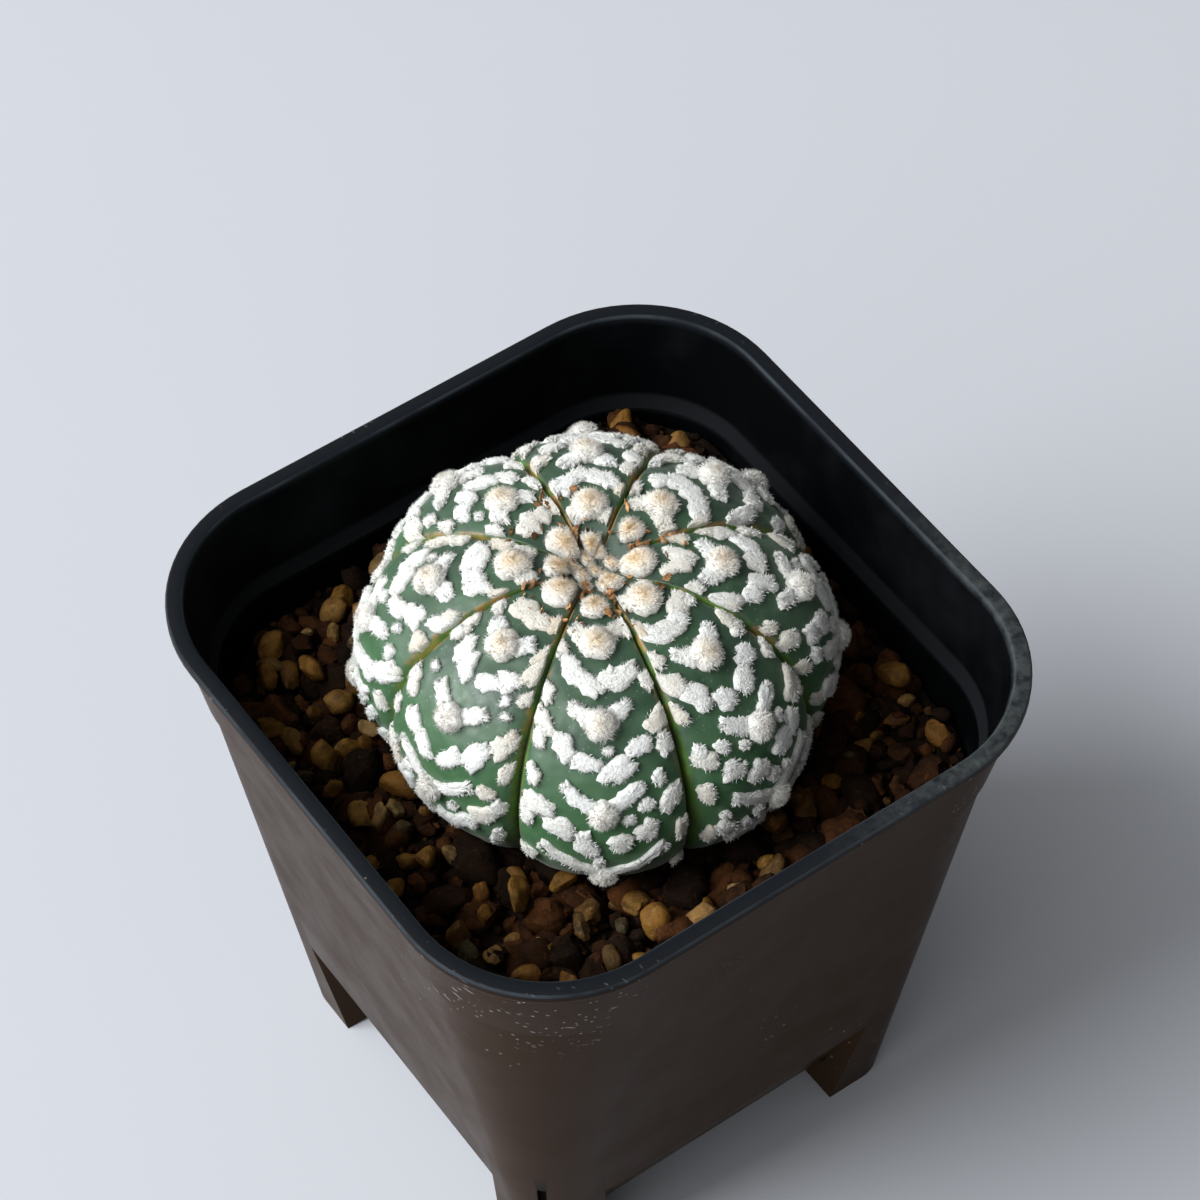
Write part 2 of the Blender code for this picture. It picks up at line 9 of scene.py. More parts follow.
import bmesh
import bpy
import numpy as np
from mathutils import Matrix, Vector


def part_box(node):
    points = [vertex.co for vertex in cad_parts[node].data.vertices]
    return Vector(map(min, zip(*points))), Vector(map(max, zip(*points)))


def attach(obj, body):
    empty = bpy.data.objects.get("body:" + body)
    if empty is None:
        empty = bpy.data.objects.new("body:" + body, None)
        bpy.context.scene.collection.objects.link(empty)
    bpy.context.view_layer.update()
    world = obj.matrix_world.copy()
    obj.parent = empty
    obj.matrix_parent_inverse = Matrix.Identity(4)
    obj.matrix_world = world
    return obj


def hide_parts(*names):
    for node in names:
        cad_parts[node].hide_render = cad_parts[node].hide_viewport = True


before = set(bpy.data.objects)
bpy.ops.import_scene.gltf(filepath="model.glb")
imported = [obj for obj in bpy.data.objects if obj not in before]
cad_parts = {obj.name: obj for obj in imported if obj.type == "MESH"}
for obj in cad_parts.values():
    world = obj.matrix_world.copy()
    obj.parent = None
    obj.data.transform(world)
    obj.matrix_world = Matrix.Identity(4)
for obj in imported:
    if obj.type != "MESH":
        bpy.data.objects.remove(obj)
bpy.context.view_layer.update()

MM = 0.001
GAP = 0.3 * MM                      # running gap between pieces that touch
POT_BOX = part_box("pot")
RIM_HALF = POT_BOX[1].x             # half of the rim's outer width
POT_HEIGHT = POT_BOX[1].z

# --- Pot ----------------------------------------------------------------------------------
RIM_CORNER = 17.3 * MM
RIM_WIDTH = 1.9 * MM                # flat top of the lip
RIM_THICK = 1.4 * MM
RIM_ROUND = 0.32 * MM               # rounding of the lip's edges
POT_SHARP = math.radians(32)        # edges bent more than this are shaded sharp
COLLAR_BOTTOM = 64.8 * MM
COLLAR_STEP = 0.5 * MM
POT_LEDGE = COLLAR_BOTTOM + 0.4 * MM  # where the wall steps in, inside
BODY_HALF = 34.5 * MM
BODY_CORNER = 15.0 * MM
BASE_HALF = 25.0 * MM
BASE_CORNER = 4.1 * MM
WALL = 1.1 * MM
FOOT_LENGTH = 9.0 * MM
STEP_TOP = 17.0 * MM
STEP_DEPTH = 4.5 * MM
STEP_RETURN = 0.4 * MM
SIDE_LIFT = 0.8 * MM
FLOOR_UNDER = 3.6 * MM
FLOOR_TOP = 4.8 * MM
CORNER_SIDES = 18                   # straight pieces in each round corner
SIDE_PARTS = 10                     # straight pieces along each side between the corners
DRAIN_RADIUS = 4.5 * MM
SIDE_DRAIN_RADIUS = 2.5 * MM
SIDE_DRAIN_RING = 12.5 * MM
NOTCH_WIDTH = 2.2 * MM
NOTCH_TOP = 2.4 * MM
SLIT_WIDTH = 1.0 * MM
SLIT_BOTTOM = 8.0 * MM
SLIT_TOP = 22.5 * MM

# --- Soil ---------------------------------------------------------------------------------
SOIL_LEVEL = 60.4 * MM
BED_LEVEL = SOIL_LEVEL - 2.0 * MM   # mean height of the fine soil between the grains
MOUND_HEIGHT = 5.2 * MM             # the soil lies higher towards one corner
MOUND_TURN = math.radians(50)
BED_COLUMNS = 260
BED_RINGS = 46
GRAIN_SHARP = math.radians(38)
GRAIN_JITTER = 0.42                 # how far grains stray from an even grid, as a share of its pitch
GRAIN_CLEAR = 0.85                  # how clear of the wall they stay, over the largest's radius
BED_WAVES = ((0.55 * MM, 9 * MM, 31), (0.32 * MM, 2.4 * MM, 32))  # size, length and seed

# --- Plant --------------------------------------------------------------------------------
RIBS = 8
RIB_TURN = 2 * math.pi / RIBS       # from one rib to the next
FIRST_RIB = math.radians(236.9)     # direction of rib 0
PLANT_X = 1.05 * MM
PLANT_Y = 2.05 * MM
PLANT_MIDDLE = POT_HEIGHT - 8.2 * MM
BODY_RADIUS = 25.7 * MM
CROWN_RISE = 16.6 * MM
CROWN_POWERS = (0.72, 0.92)
DIMPLE_DEPTH = 2.3 * MM
DIMPLE_RADIUS = 4.9 * MM
BELLY_DROP = 15.3 * MM
BELLY_POWERS = (0.82, 1.08)
ROOT_RADIUS = 7.0 * MM
ROOT_END = 30.0 * MM
ROOT_TIP = 1.5 * MM
RIB_SWELL = 0.035
GROOVE_DEPTH = 0.055
GROOVE_POWER = 9.0
CREASE_DEPTH = 0.75 * MM            # the sharp line at the bottom of each furrow
CREASE_WIDTH = 0.042                # its width, as a share of the half rib
SOIL_ALONG = 44.0 * MM
# How much fuller the body is on one side: number of lobes, size and direction.
FULLNESS = (
    (1, 0.042, math.radians(-11.0)),
    (2, 0.013, math.radians(30.0)),
    (3, 0.024, math.radians(10.0)),
)
SKIN_COLUMNS = 44                   # columns of faces on each rib
SKIN_ROWS = (118, 12)               # rows of faces above and below the soil line
# Unevenness of the skin: its size, its length, its seed and where it reaches its full size.
SKIN_WAVES = ((0.10 * MM, 6.0 * MM, 5, 6 * MM), (0.05 * MM, 1.6 * MM, 6, 20 * MM))

# --- Woolly marks -------------------------------------------------------------------------
FIRST_PAD = tuple(value * MM for value in (10.6, 7.4, 5.0, 10.8, 8.0, 4.4, 8.6, 5.2))
PAD_PITCH = 8.7 * MM
PAD_GROWTH = 0.5 * MM
YOUNG_PAD = 4.6 * MM
YOUNG_PAD_WIDTH = 2.6 * MM
YOUNG_PAD_HEIGHT = 1.0 * MM
PAD_WIDTHS = (3.9 * MM, 2.3 * MM)   # near the crown, near the soil
PAD_HEIGHTS = (1.4 * MM, 0.8 * MM)
ARM_LENGTHS = (3.2 * MM, 9.0 * MM)
ARM_LENGTHENING = 3.0               # the arms grow slowly at first and fast near the soil
ARM_WIDTHS = (1.9 * MM, 1.1 * MM)
ARM_RISE = math.radians(32)
FLECK_HEIGHT = 0.52 * MM
FLECK_ROOT = 0.3 * MM               # how deep the marks' roots reach into the skin
FLECK_LENGTHS = (2.2 * MM, 3.4 * MM)
FLECK_WIDTHS = (1.6 * MM, 2.2 * MM)
FLECK_FIRST = 0.20                  # the innermost fleck's place, as a share of the half rib
FLECK_STEP = 0.25                   # from one fleck of a row to the next
EDGE_LENGTHS = (1.5 * MM, 2.5 * MM)
EDGE_WIDTHS = (1.2 * MM, 1.6 * MM)
EDGE_SIDES = (0.80, 0.88)           # how near the furrow they lie
EDGE_START = 9.0 * MM               # how far from the crown they begin
EDGE_PITCH = 5.2 * MM
MARKS_END = 41.0 * MM
# Rings of a fleck and of a pad: share of the width, share of the height (below 0: the root).
FLECK_RINGS = ((1.04, -FLECK_ROOT / FLECK_HEIGHT), (1.06, 0.35), (0.90, 0.80), (0.62, 1.0))
PAD_RINGS = ((1.04, -0.25), (1.05, 0.30), (0.95, 0.60), (0.80, 0.82), (0.60, 0.96), (0.38, 1.04),
             (0.17, 1.08))
FLECK_SIDES = 22                    # points round a fleck, an arm and a pad
ARM_SIDES = 48
PAD_SIDES = 26
FLECK_RAGGED = 1.25                 # raggedness of their outlines and unevenness of their tops
FLECK_UNEVEN = 0.16
PAD_RAGGED = 0.5
PAD_UNEVEN = 0.035
FLECK_SHARP = math.radians(70)
CREAMY_FROM = 0.68                  # from this share of the half rib on, flecks may be cream
CREAMY_TO = 11 * MM                 # nearer the crown than this, all flecks are a little cream
FIBRES = (3800.0, 3400.0)           # threads per metre on the flecks and on the pads
MARK_SEED = 11
EDGE_HAIR = (0.20 * MM, 0.50 * MM)  # shortest and longest hair on flecks and arms
EDGE_HAIR_WIDTH = 0.085 * MM
PAD_HAIR = (0.24 * MM, 0.68 * MM)
PAD_HAIR_WIDTH = 0.055 * MM
CROWN_TUFTS = 9
TUFT_WIDTHS = (0.9 * MM, 1.5 * MM)
TUFT_LENGTH = 1.5                   # over its width
TUFT_HEIGHT = 0.42                  # over its width
TUFT_START = 0.4 * MM               # the spiral of tufts: its start and its growth
TUFT_SPREAD = 0.88 * MM
GOLDEN_ANGLE = math.pi * (3 - math.sqrt(5))
LOOK_SEED = 23                      # seed of what is finer than the solids
FURROW_CLEAR = 0.44 * MM            # strip of bare skin on either side of a furrow
FURROW_PRESS = 0.12                 # what wool beyond it is pressed to
ARM_SPREAD = 1.22                   # how much wider the felt is than the solid arms and flecks
FLECK_SPREAD = 1.13
PAD_GROWN = 0.35                    # how much higher the felt is than the solid pads further out
PAD_GROWN_FROM = 12 * MM
PAD_GROWN_OVER = 6 * MM
FILLER_TRIES = 240                  # places tried on each rib for the small extra flecks
FILLER_END = 37.0 * MM
FILLER_SIDE = 0.72                  # how far out from a rib's crest they lie
FILLER_SIZES = (0.8 * MM, 1.7 * MM)
FILLER_GAP = 0.60 * MM              # bare skin left round each extra fleck
SCRAPS = 95
SCRAP_PLACES = (2.2 * MM, 11.0 * MM)  # nearest to and furthest from the middle of the crown
SCRAP_SIZES = (0.25 * MM, 0.78 * MM)
SCRAPS_IN_FURROWS = 0.6             # share of them
SCRAP_SHAPE = dict(subdivisions=3, planes=7, cut=(0.45, 0.9), rough=0.16, lumps=0.28)
SMALL_HAIRS = 90                    # hairs on a fleck, an arm, a pad and a crown tuft
ARM_HAIRS = 170
PAD_HAIRS = 720
TUFT_HAIRS = 320

# --- Colours: linear red, green and blue --------------------------------------------------
# Inside of the pot: near-black, its cool tint a painted reflection.
POT_INSIDE_COOL_REFLECTION = ((0.0015, 0.0018, 0.0021), (0.0045, 0.0052, 0.0060))
POT_LEDGE_HIGHLIGHT = (0.0110, 0.0125, 0.0140)
# Outside of the pot: brown-black, the brown a painted reflection of a wooden table.
POT_OUTSIDE_WOOD_REFLECTION = ((0.024, 0.0125, 0.0060), (0.029, 0.0150, 0.0074))
POT_LOW_DUST = (0.045, 0.032, 0.020)
# The lip's grey is painted sheen; its edges carry painted highlights.
POT_LIP_SHEEN = (0.0090, 0.0112, 0.0138)
POT_LIP_EDGE_HIGHLIGHT = (0.034, 0.041, 0.048)
POT_LIP_WORN = (0.062, 0.070, 0.070)
POT_SPECK = (0.36, 0.34, 0.31)
POT_SCRATCH = (0.36, 0.35, 0.34)
SKIN_GREENS = ((0.019, 0.050, 0.026), (0.035, 0.086, 0.040))
# The low skin's green is partly its own, partly painted light.
SKIN_LOW_PARTLY_LIT = (0.050, 0.145, 0.052)
SKIN_YOUNG = (0.038, 0.062, 0.048)
SKIN_DOT = (0.46, 0.50, 0.44)
FURROW_GREEN = (0.120, 0.250, 0.022)
FURROW_SCAR = (0.30, 0.15, 0.038)
FURROW_SHADE_LINE = (0.020, 0.035, 0.010)
# Wool: where it is white, where it is cream, and its grey for the threads and for the painted shade at
# its root.
FLECK_WOOL = ((0.80, 0.815, 0.80), (0.58, 0.49, 0.35), (0.40, 0.41, 0.36))
PAD_WOOL = ((0.80, 0.80, 0.77), (0.78, 0.55, 0.27), (0.50, 0.44, 0.34))
SCRAP_ORANGES = ((0.24, 0.11, 0.042), (0.50, 0.27, 0.105))
SCRAP_DARK = (0.13, 0.055, 0.022)
SCRAP_PALE = (0.66, 0.50, 0.32)
# Earth: from the darkest grains of a kind to its palest.
BED_TONES = ((0.006, 0.003, 0.0015), (0.014, 0.007, 0.003))
CLOD_TONES = ((0.008, 0.0036, 0.0015), (0.025, 0.0094, 0.0032), (0.070, 0.025, 0.0068))
PEBBLE_TONES = ((0.050, 0.038, 0.018), (0.13, 0.054, 0.009), (0.18, 0.085, 0.015),
                (0.22, 0.135, 0.052))
CRUMB_TONES = ((0.009, 0.004, 0.002), (0.025, 0.010, 0.0035), (0.085, 0.038, 0.010))
EARTH_DARKEST = 0.28                # the mottles' colour, as a share of the darkest grains'
EARTH_DUST = 2.2                    # the dust's, as a share of the palest grains'
FLOOR_GREYS = ((0.455, 0.47, 0.505), (0.475, 0.49, 0.525))
# Each set of scratches: how it is turned round X, Y and Z, and how many there are to the metre.
SCRATCHES = (
    ((1.3, 0.0, 0.6), 836.0),
    ((1.1, 0.4, 1.5), 1012.0),
    ((0.7, 1.1, 0.2), 1144.0),
)
SCRATCH_STRETCH = 0.16              # their width over their length

# --- Camera and light ---------------------------------------------------------------------
CAMERA_AIM = (2.49 * MM, 2.74 * MM, POT_HEIGHT)
CAMERA_TURN = math.radians(-35.58)  # round the vertical from +Y
CAMERA_RISE = math.radians(52.43)
CAMERA_DISTANCE = 434.9 * MM
CAMERA_LENS = 123.8                 # on a 36 mm sensor
WINDOW_TURN = math.radians(161)     # from +X
WINDOW_RISE = math.radians(44)      # over the ground
WINDOW_POWER = 59.0
WINDOW_COLOUR = (0.97, 0.985, 1.0)
WINDOW_DISTANCE = 2.0
WINDOW_SIZE = 1.3
ROOM_LIGHT = (0.14, 1.80)           # strength of the room's light away from and at the window
FLOOR_HALF = 2.0


# --- Meshes -------------------------------------------------------------------------------
def placed(name, data):
    """An object with the data of a mesh, a camera or a lamp, linked into the scene."""
    made = bpy.data.objects.new(name, data)
    bpy.context.scene.collection.objects.link(made)
    return made


def mesh_of(name, points, faces):
    """A mesh from points and groups of faces."""
    mesh = bpy.data.meshes.new(name)
    rows = [row for group in faces for row in np.asarray(group).tolist()]
    mesh.from_pydata(np.asarray(points).reshape(-1, 3).tolist(), [], rows)
    return mesh


def piece(name, points, faces, look, smooth=True):
    """A finished piece from points and groups of faces (quads, triangles), at the origin."""
    mesh = mesh_of(name, points, faces)
    mesh.polygons.foreach_set("use_smooth", [smooth] * len(mesh.polygons))
    mesh.materials.append(look)
    made = placed(name, mesh)
    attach(made, "root")
    return made


def paint(target, name, values):
    """Keep one number per point for the materials, such as how far up a fleck it lies."""
    layer = target.data.attributes.new(name, "FLOAT", "POINT")
    layer.data.foreach_set("value", np.asarray(values, dtype=np.float32).ravel())


def band_faces(rings, columns, start=0):
    """Quads between closed rings of points, each ring one row of the grid."""
    i = np.arange(columns)
    j = (i + 1) % columns
    low = start + np.arange(rings - 1)[:, None] * columns
    return np.stack([low + i, low + j, low + columns + j, low + columns + i], -1).reshape(-1, 4)


def fan_faces(ring_start, columns, centre, outward=True):
    """Triangles from one ring to a single closing point."""
    i = ring_start + np.arange(columns)
    j = ring_start + (np.arange(columns) + 1) % columns
    tip = np.full(columns, centre)
    return np.stack([i, j, tip] if outward else [j, i, tip], -1)


def repeated(faces, count, size):
    """The faces of one shape, repeated for a number of shapes with a number of points each."""
    faces = np.asarray(faces)
    return (faces[None] + (np.arange(count) * size)[:, None, None]).reshape(-1, faces.shape[1])


def ripple(points, length, seed, waves=14):
    """Smooth unevenness from -1 to 1: the mean of cosines along random directions."""
    draw = np.random.default_rng(seed)
    ways = draw.normal(size=(waves, points.shape[-1]))
    ways /= np.linalg.norm(ways, axis=1, keepdims=True)
    ways *= 2 * math.pi / (length * draw.uniform(0.6, 1.6, (waves, 1)))
    phases = draw.uniform(0, 2 * math.pi, waves)
    return np.cos(points @ ways.T + phases).sum(-1) / math.sqrt(waves) * 0.8


# --- Material nodes -----------------------------------------------------------------------
def add(tree, kind, settings=None, inputs=None):
    """Add a node; an input is a plain value or another node's output."""
    made = tree.nodes.new(kind)
    for key, value in (settings or {}).items():
        setattr(made, key, value)
    for key, value in (inputs or {}).items():
        if isinstance(value, bpy.types.NodeSocket):
            tree.links.new(value, made.inputs[key])
        else:
            made.inputs[key].default_value = value
    return made


def new_look(name, **settings):
    """A Principled material; settings are constants on the shader's own sockets."""
    made = bpy.data.materials.new(name)
    made.use_nodes = True
    shader = made.node_tree.nodes["Principled BSDF"]
    for key, value in settings.items():
        shader.inputs[key.replace("_", " ")].default_value = value
    return made, made.node_tree, shader


def feed(tree, shader, **sources):
    """Link what has been worked out to the shader's sockets."""
    for key, source in sources.items():
        tree.links.new(source, shader.inputs[key.replace("_", " ")])


def place(tree):
    """The point's place on the piece, in metres."""
    return add(tree, "ShaderNodeTexCoord").outputs["Object"]


def streaked(tree, vector, turn, shrink):
    """The place turned and then shrunk along its new Z, so that what it feeds becomes streaks."""
    inputs = {"Vector": vector, "Rotation": turn}
    turned = add(tree, "ShaderNodeMapping", inputs=inputs).outputs["Vector"]
    inputs = {"Vector": turned, "Scale": (1.0, 1.0, shrink)}
    return add(tree, "ShaderNodeMapping", inputs=inputs).outputs["Vector"]


def noise(tree, vector, scale, detail=3.0, rough=0.5):
    """Cloudy noise from 0 to 1; scale is in clouds per metre."""
    inputs = {"Vector": vector, "Scale": scale, "Detail": detail, "Roughness": rough}
    return add(tree, "ShaderNodeTexNoise", inputs=inputs).outputs["Fac"]


def cells(tree, vector, scale, randomness=1.0):
    """Distance to the nearest of scattered points; scale is in points per metre."""
    inputs = {"Vector": vector, "Scale": scale, "Randomness": randomness}
    return add(tree, "ShaderNodeTexVoronoi", inputs=inputs).outputs["Distance"]


def between(tree, value, low, high, out_low=0.0, out_high=1.0):
    """A soft step: out_low under low, out_high over high."""
    settings = {"interpolation_type": "SMOOTHSTEP"}
    inputs = {"Value": value, "From Min": low, "From Max": high, "To Min": out_low, "To Max": out_high}
    return add(tree, "ShaderNodeMapRange", settings, inputs).outputs["Result"]


def maths(tree, operation, first, second=0.0):
    """One sum on two numbers."""
    return add(tree, "ShaderNodeMath", {"operation": operation}, {0: first, 1: second}).outputs[0]


def product(tree, first, *others):
    """Several numbers multiplied together, in turn."""
    for other in others:
        first = maths(tree, "MULTIPLY", first, other)
    return first


def blend(tree, share, first, second):
    """The first colour turning into the second as the share goes from 0 to 1."""
    made = add(tree, "ShaderNodeMix", {"data_type": "RGBA"})
    for index, value in ((0, share), (6, first), (7, second)):
        if isinstance(value, bpy.types.NodeSocket):
            tree.links.new(value, made.inputs[index])
        else:
            made.inputs[index].default_value = value if index == 0 else (*value, 1.0)
    return made.outputs[2]


def painted(tree, name):
    """One of the numbers kept per point."""
    return add(tree, "ShaderNodeAttribute", {"attribute_name": name}).outputs["Fac"]


def relief(tree, height, strength, distance, normal=None):
    """Fine relief from a height; it can lie on top of another relief."""
    inputs = {"Height": height, "Strength": strength, "Distance": distance}
    if normal is not None:
        inputs["Normal"] = normal
    return add(tree, "ShaderNodeBump", inputs=inputs).outputs["Normal"]


def pot_look():
    """Near-black moulded plastic with painted light: a brownish outside (painted wood reflection), a
    grey rim (painted sheen and edge highlights), pale scratches and specks.
    """
    look, tree, shader = new_look("black_pot_plastic", Roughness=0.32, IOR=1.085)
    spot = place(tree)
    parts = add(tree, "ShaderNodeSeparateXYZ", inputs={0: spot}).outputs
    height = parts["Z"]
    outside = painted(tree, "outside")
    # inside: black, its cool tint and faint lighter haze a painted reflection, and a painted highlight
    # along the ledge under the collar
    reflection_haze = between(tree, noise(tree, spot, 60.0, 4.0, 0.6), 0.42, 0.68)
    colour = blend(tree, reflection_haze, *POT_INSIDE_COOL_REFLECTION)
    # painted highlight: a pale band along the inner ledge
    under = between(tree, height, POT_LEDGE - 1.6 * MM, POT_LEDGE - 0.6 * MM)
    over = between(tree, height, POT_LEDGE + 1.4 * MM, POT_LEDGE + 0.6 * MM)
    colour = blend(tree, product(tree, under, over, 0.8), colour, POT_LEDGE_HIGHLIGHT)
    # outside: brown-black, the brown a painted reflection of a wooden table; dusty low down
    clouds = noise(tree, spot, 30.0, 3.0, 0.5)
    colour = blend(tree, outside, colour, blend(tree, clouds, *POT_OUTSIDE_WOOD_REFLECTION))
    low_dust = between(tree, height, 30 * MM, 2 * MM)
    colour = blend(tree, product(tree, low_dust, outside, 0.25), colour, POT_LOW_DUST)
    # the lip is greyer, a painted sheen, and both its edges are painted paler than its flat top as
    # highlight lines
    rim = between(tree, height, POT_HEIGHT - 1.2 * MM, POT_HEIGHT - 0.2 * MM)
    colour = blend(tree, product(tree, rim, 0.9), colour, POT_LIP_SHEEN)
    below_top = between(tree, height, POT_HEIGHT - 0.01 * MM, POT_HEIGHT - 0.06 * MM)
    above_side = between(tree, height, POT_HEIGHT - 0.50 * MM, POT_HEIGHT - 0.28 * MM)
    highlight_patches = between(tree, noise(tree, spot, 160.0, 3.0), 0.30, 0.65, 0.25, 0.9)
    # painted highlight lines along both edges of the lip, broken into patches
    colour = blend(tree, product(tree, below_top, above_side, highlight_patches), colour, POT_LIP_EDGE_HIGHLIGHT)
    # the lip is worn pale towards one corner
    across = maths(tree, "SUBTRACT", parts["X"], parts["Y"])
    corner = between(tree, across, 34 * MM, 62 * MM)
    scuff = between(tree, noise(tree, spot, 620.0, 5.0, 0.65), 0.25, 0.75)
    worn_rim = product(tree, rim, corner, scuff)
    colour = blend(tree, product(tree, worn_rim, 0.8), colour, POT_LIP_WORN)
    # pale specks in loose groups
    specks = between(tree, cells(tree, spot, 520.0), 0.12, 0.07)
    few = between(tree, noise(tree, spot, 45.0, 2.0), 0.55, 0.64)
    colour = blend(tree, product(tree, specks, few, outside, 0.40), colour, POT_SPECK)
    # short scratches on the collar, most of them at the front corner
    collar = between(tree, height, COLLAR_BOTTOM - 9 * MM, COLLAR_BOTTOM + 3 * MM)
    along = maths(tree, "ADD", parts["X"], parts["Y"])
    front = between(tree, along, -50 * MM, -60 * MM, 0.0, 0.12)
    scratches = None
    for turn, scale in SCRATCHES:
        streaks = streaked(tree, spot, turn, SCRATCH_STRETCH)
        lines = between(tree, cells(tree, streaks, scale), 0.15, 0.08)
        groups = maths(tree, "ADD", noise(tree, spot, 75.0, 3.0), front)
        marks = product(tree, lines, between(tree, groups, 0.50, 0.60), collar, outside)
        scratches = marks if scratches is None else maths(tree, "MAXIMUM", scratches, marks)
    share = maths(tree, "SUBTRACT", 0.55, product(tree, rim, 0.4))
    colour = blend(tree, product(tree, scratches, share), colour, POT_SCRATCH)
    rough = between(tree, noise(tree, spot, 150.0, 4.0, 0.6), 0.3, 0.7, 0.28, 0.36)
    rough = maths(tree, "ADD", rough, product(tree, worn_rim, 0.18))
    grain = relief(tree, noise(tree, spot, 2600.0, 2.0), 0.12, 0.03 * MM)
    nicks = relief(tree, scuff, product(tree, rim, 0.35), 0.06 * MM, grain)
    feed(tree, shader, Base_Color=colour, Roughness=rough, Normal=nicks)
    return look


def skin_look():
    """Waxy green skin: dark above, fresh green in the furrows, lighter below partly as painted light,
    fine white dots.
    """
    look, tree, shader = new_look("star_cactus_skin", Specular_IOR_Level=0.60, Sheen_Weight=0.15,
                                  Sheen_Roughness=0.4)
    spot = place(tree)
    age = painted(tree, "age")
    furrow = painted(tree, "furrow")
    # dark above, fresher and lighter below (partly its own green, partly painted light), greyish at the
    # crown
    clouds = noise(tree, spot, 170.0, 4.0, 0.55)
    colour = blend(tree, between(tree, clouds, 0.35, 0.7), *SKIN_GREENS)
    colour = blend(tree, product(tree, between(tree, age, 0.40, 0.95), 0.9), colour, SKIN_LOW_PARTLY_LIT)
    colour = blend(tree, product(tree, between(tree, age, 0.28, 0.08), 0.6), colour, SKIN_YOUNG)
    # furrows: bright green, with brown scars near the crown, and painted shade along the bottom
    streaky = between(tree, noise(tree, spot, 420.0, 3.0, 0.6), 0.3, 0.65, 0.15, 0.9)
    fresh = product(tree, between(tree, furrow, 0.905, 0.965), streaky)
    colour = blend(tree, fresh, colour, FURROW_GREEN)
    scar_cloud = between(tree, noise(tree, spot, 300.0, 5.0, 0.65), 0.46, 0.58)
    older = between(tree, age, 0.9, 0.15, 0.12, 1.0)
    scars = product(tree, between(tree, furrow, 0.86, 0.93), scar_cloud, older, 0.85)
    colour = blend(tree, scars, colour, FURROW_SCAR)
    # painted shade: a dark line down the bottom of each furrow
    line = product(tree, between(tree, furrow, 0.972, 0.995), 0.8)
    colour = blend(tree, line, colour, FURROW_SHADE_LINE)
    # the finest white dots
    dots = between(tree, cells(tree, spot, 1700.0), 0.15, 0.08)
    dotted = between(tree, noise(tree, spot, 120.0, 2.0), 0.46, 0.60)
    colour = blend(tree, product(tree, dots, dotted, 0.35), colour, SKIN_DOT)
    rough = between(tree, noise(tree, spot, 900.0, 3.0), 0.3, 0.7, 0.42, 0.58)
    pores = relief(tree, noise(tree, spot, 2400.0, 3.0), 0.25, 0.05 * MM)
    waves = relief(tree, noise(tree, spot, 260.0, 3.0), 0.20, 0.22 * MM, pores)
    feed(tree, shader, Base_Color=colour, Roughness=rough, Normal=waves)
    return look


def wool_look(name, white, cream, root, fibre):
    """Matted wool: white on top, cream where the tone says so, with painted shade at its root.

    fibre is the fineness of its threads, in threads per metre.
    """
    look, tree, shader = new_look(name, Roughness=0.95, Specular_IOR_Level=0.15, Sheen_Weight=0.35,
                                  Sheen_Roughness=0.6)
    spot = place(tree)
    mottle = between(tree, noise(tree, spot, 900.0, 4.0, 0.6), 0.25, 0.65, 0.75, 1.0)
    colour = blend(tree, product(tree, painted(tree, "tone"), mottle), white, cream)
    threads = noise(tree, spot, fibre, 4.0, 0.7)
    colour = blend(tree, between(tree, threads, 0.60, 0.36, 0.0, 0.40), colour, root)
    # painted shade: darker towards the root, where the wool meets the skin
    low = between(tree, painted(tree, "rise"), 0.5, 0.0, 0.0, 0.40)
    colour = blend(tree, low, colour, root)
    felt = relief(tree, threads, 1.0, 0.22 * MM)
    tufts = relief(tree, noise(tree, spot, 1300.0, 3.0), 0.45, 0.18 * MM, felt)
    feed(tree, shader, Base_Color=colour, Normal=tufts)
    return look


def scrap_look():
    """Dry orange-brown scraps of old wool and spine sheath."""
    look, tree, shader = new_look("dry_orange_scraps", Roughness=0.7, Specular_IOR_Level=0.3)
    spot = place(tree)
    clouds = noise(tree, spot, 1500.0, 4.0, 0.6)
    colour = blend(tree, painted(tree, "tone"), *SCRAP_ORANGES)
    colour = blend(tree, between(tree, clouds, 0.60, 0.35), colour, SCRAP_DARK)
    colour = blend(tree, between(tree, clouds, 0.60, 0.70), colour, SCRAP_PALE)
    tree.links.new(colour, shader.inputs["Base Color"])
    tree.links.new(relief(tree, clouds, 0.6, 0.1 * MM), shader.inputs["Normal"])
    return look


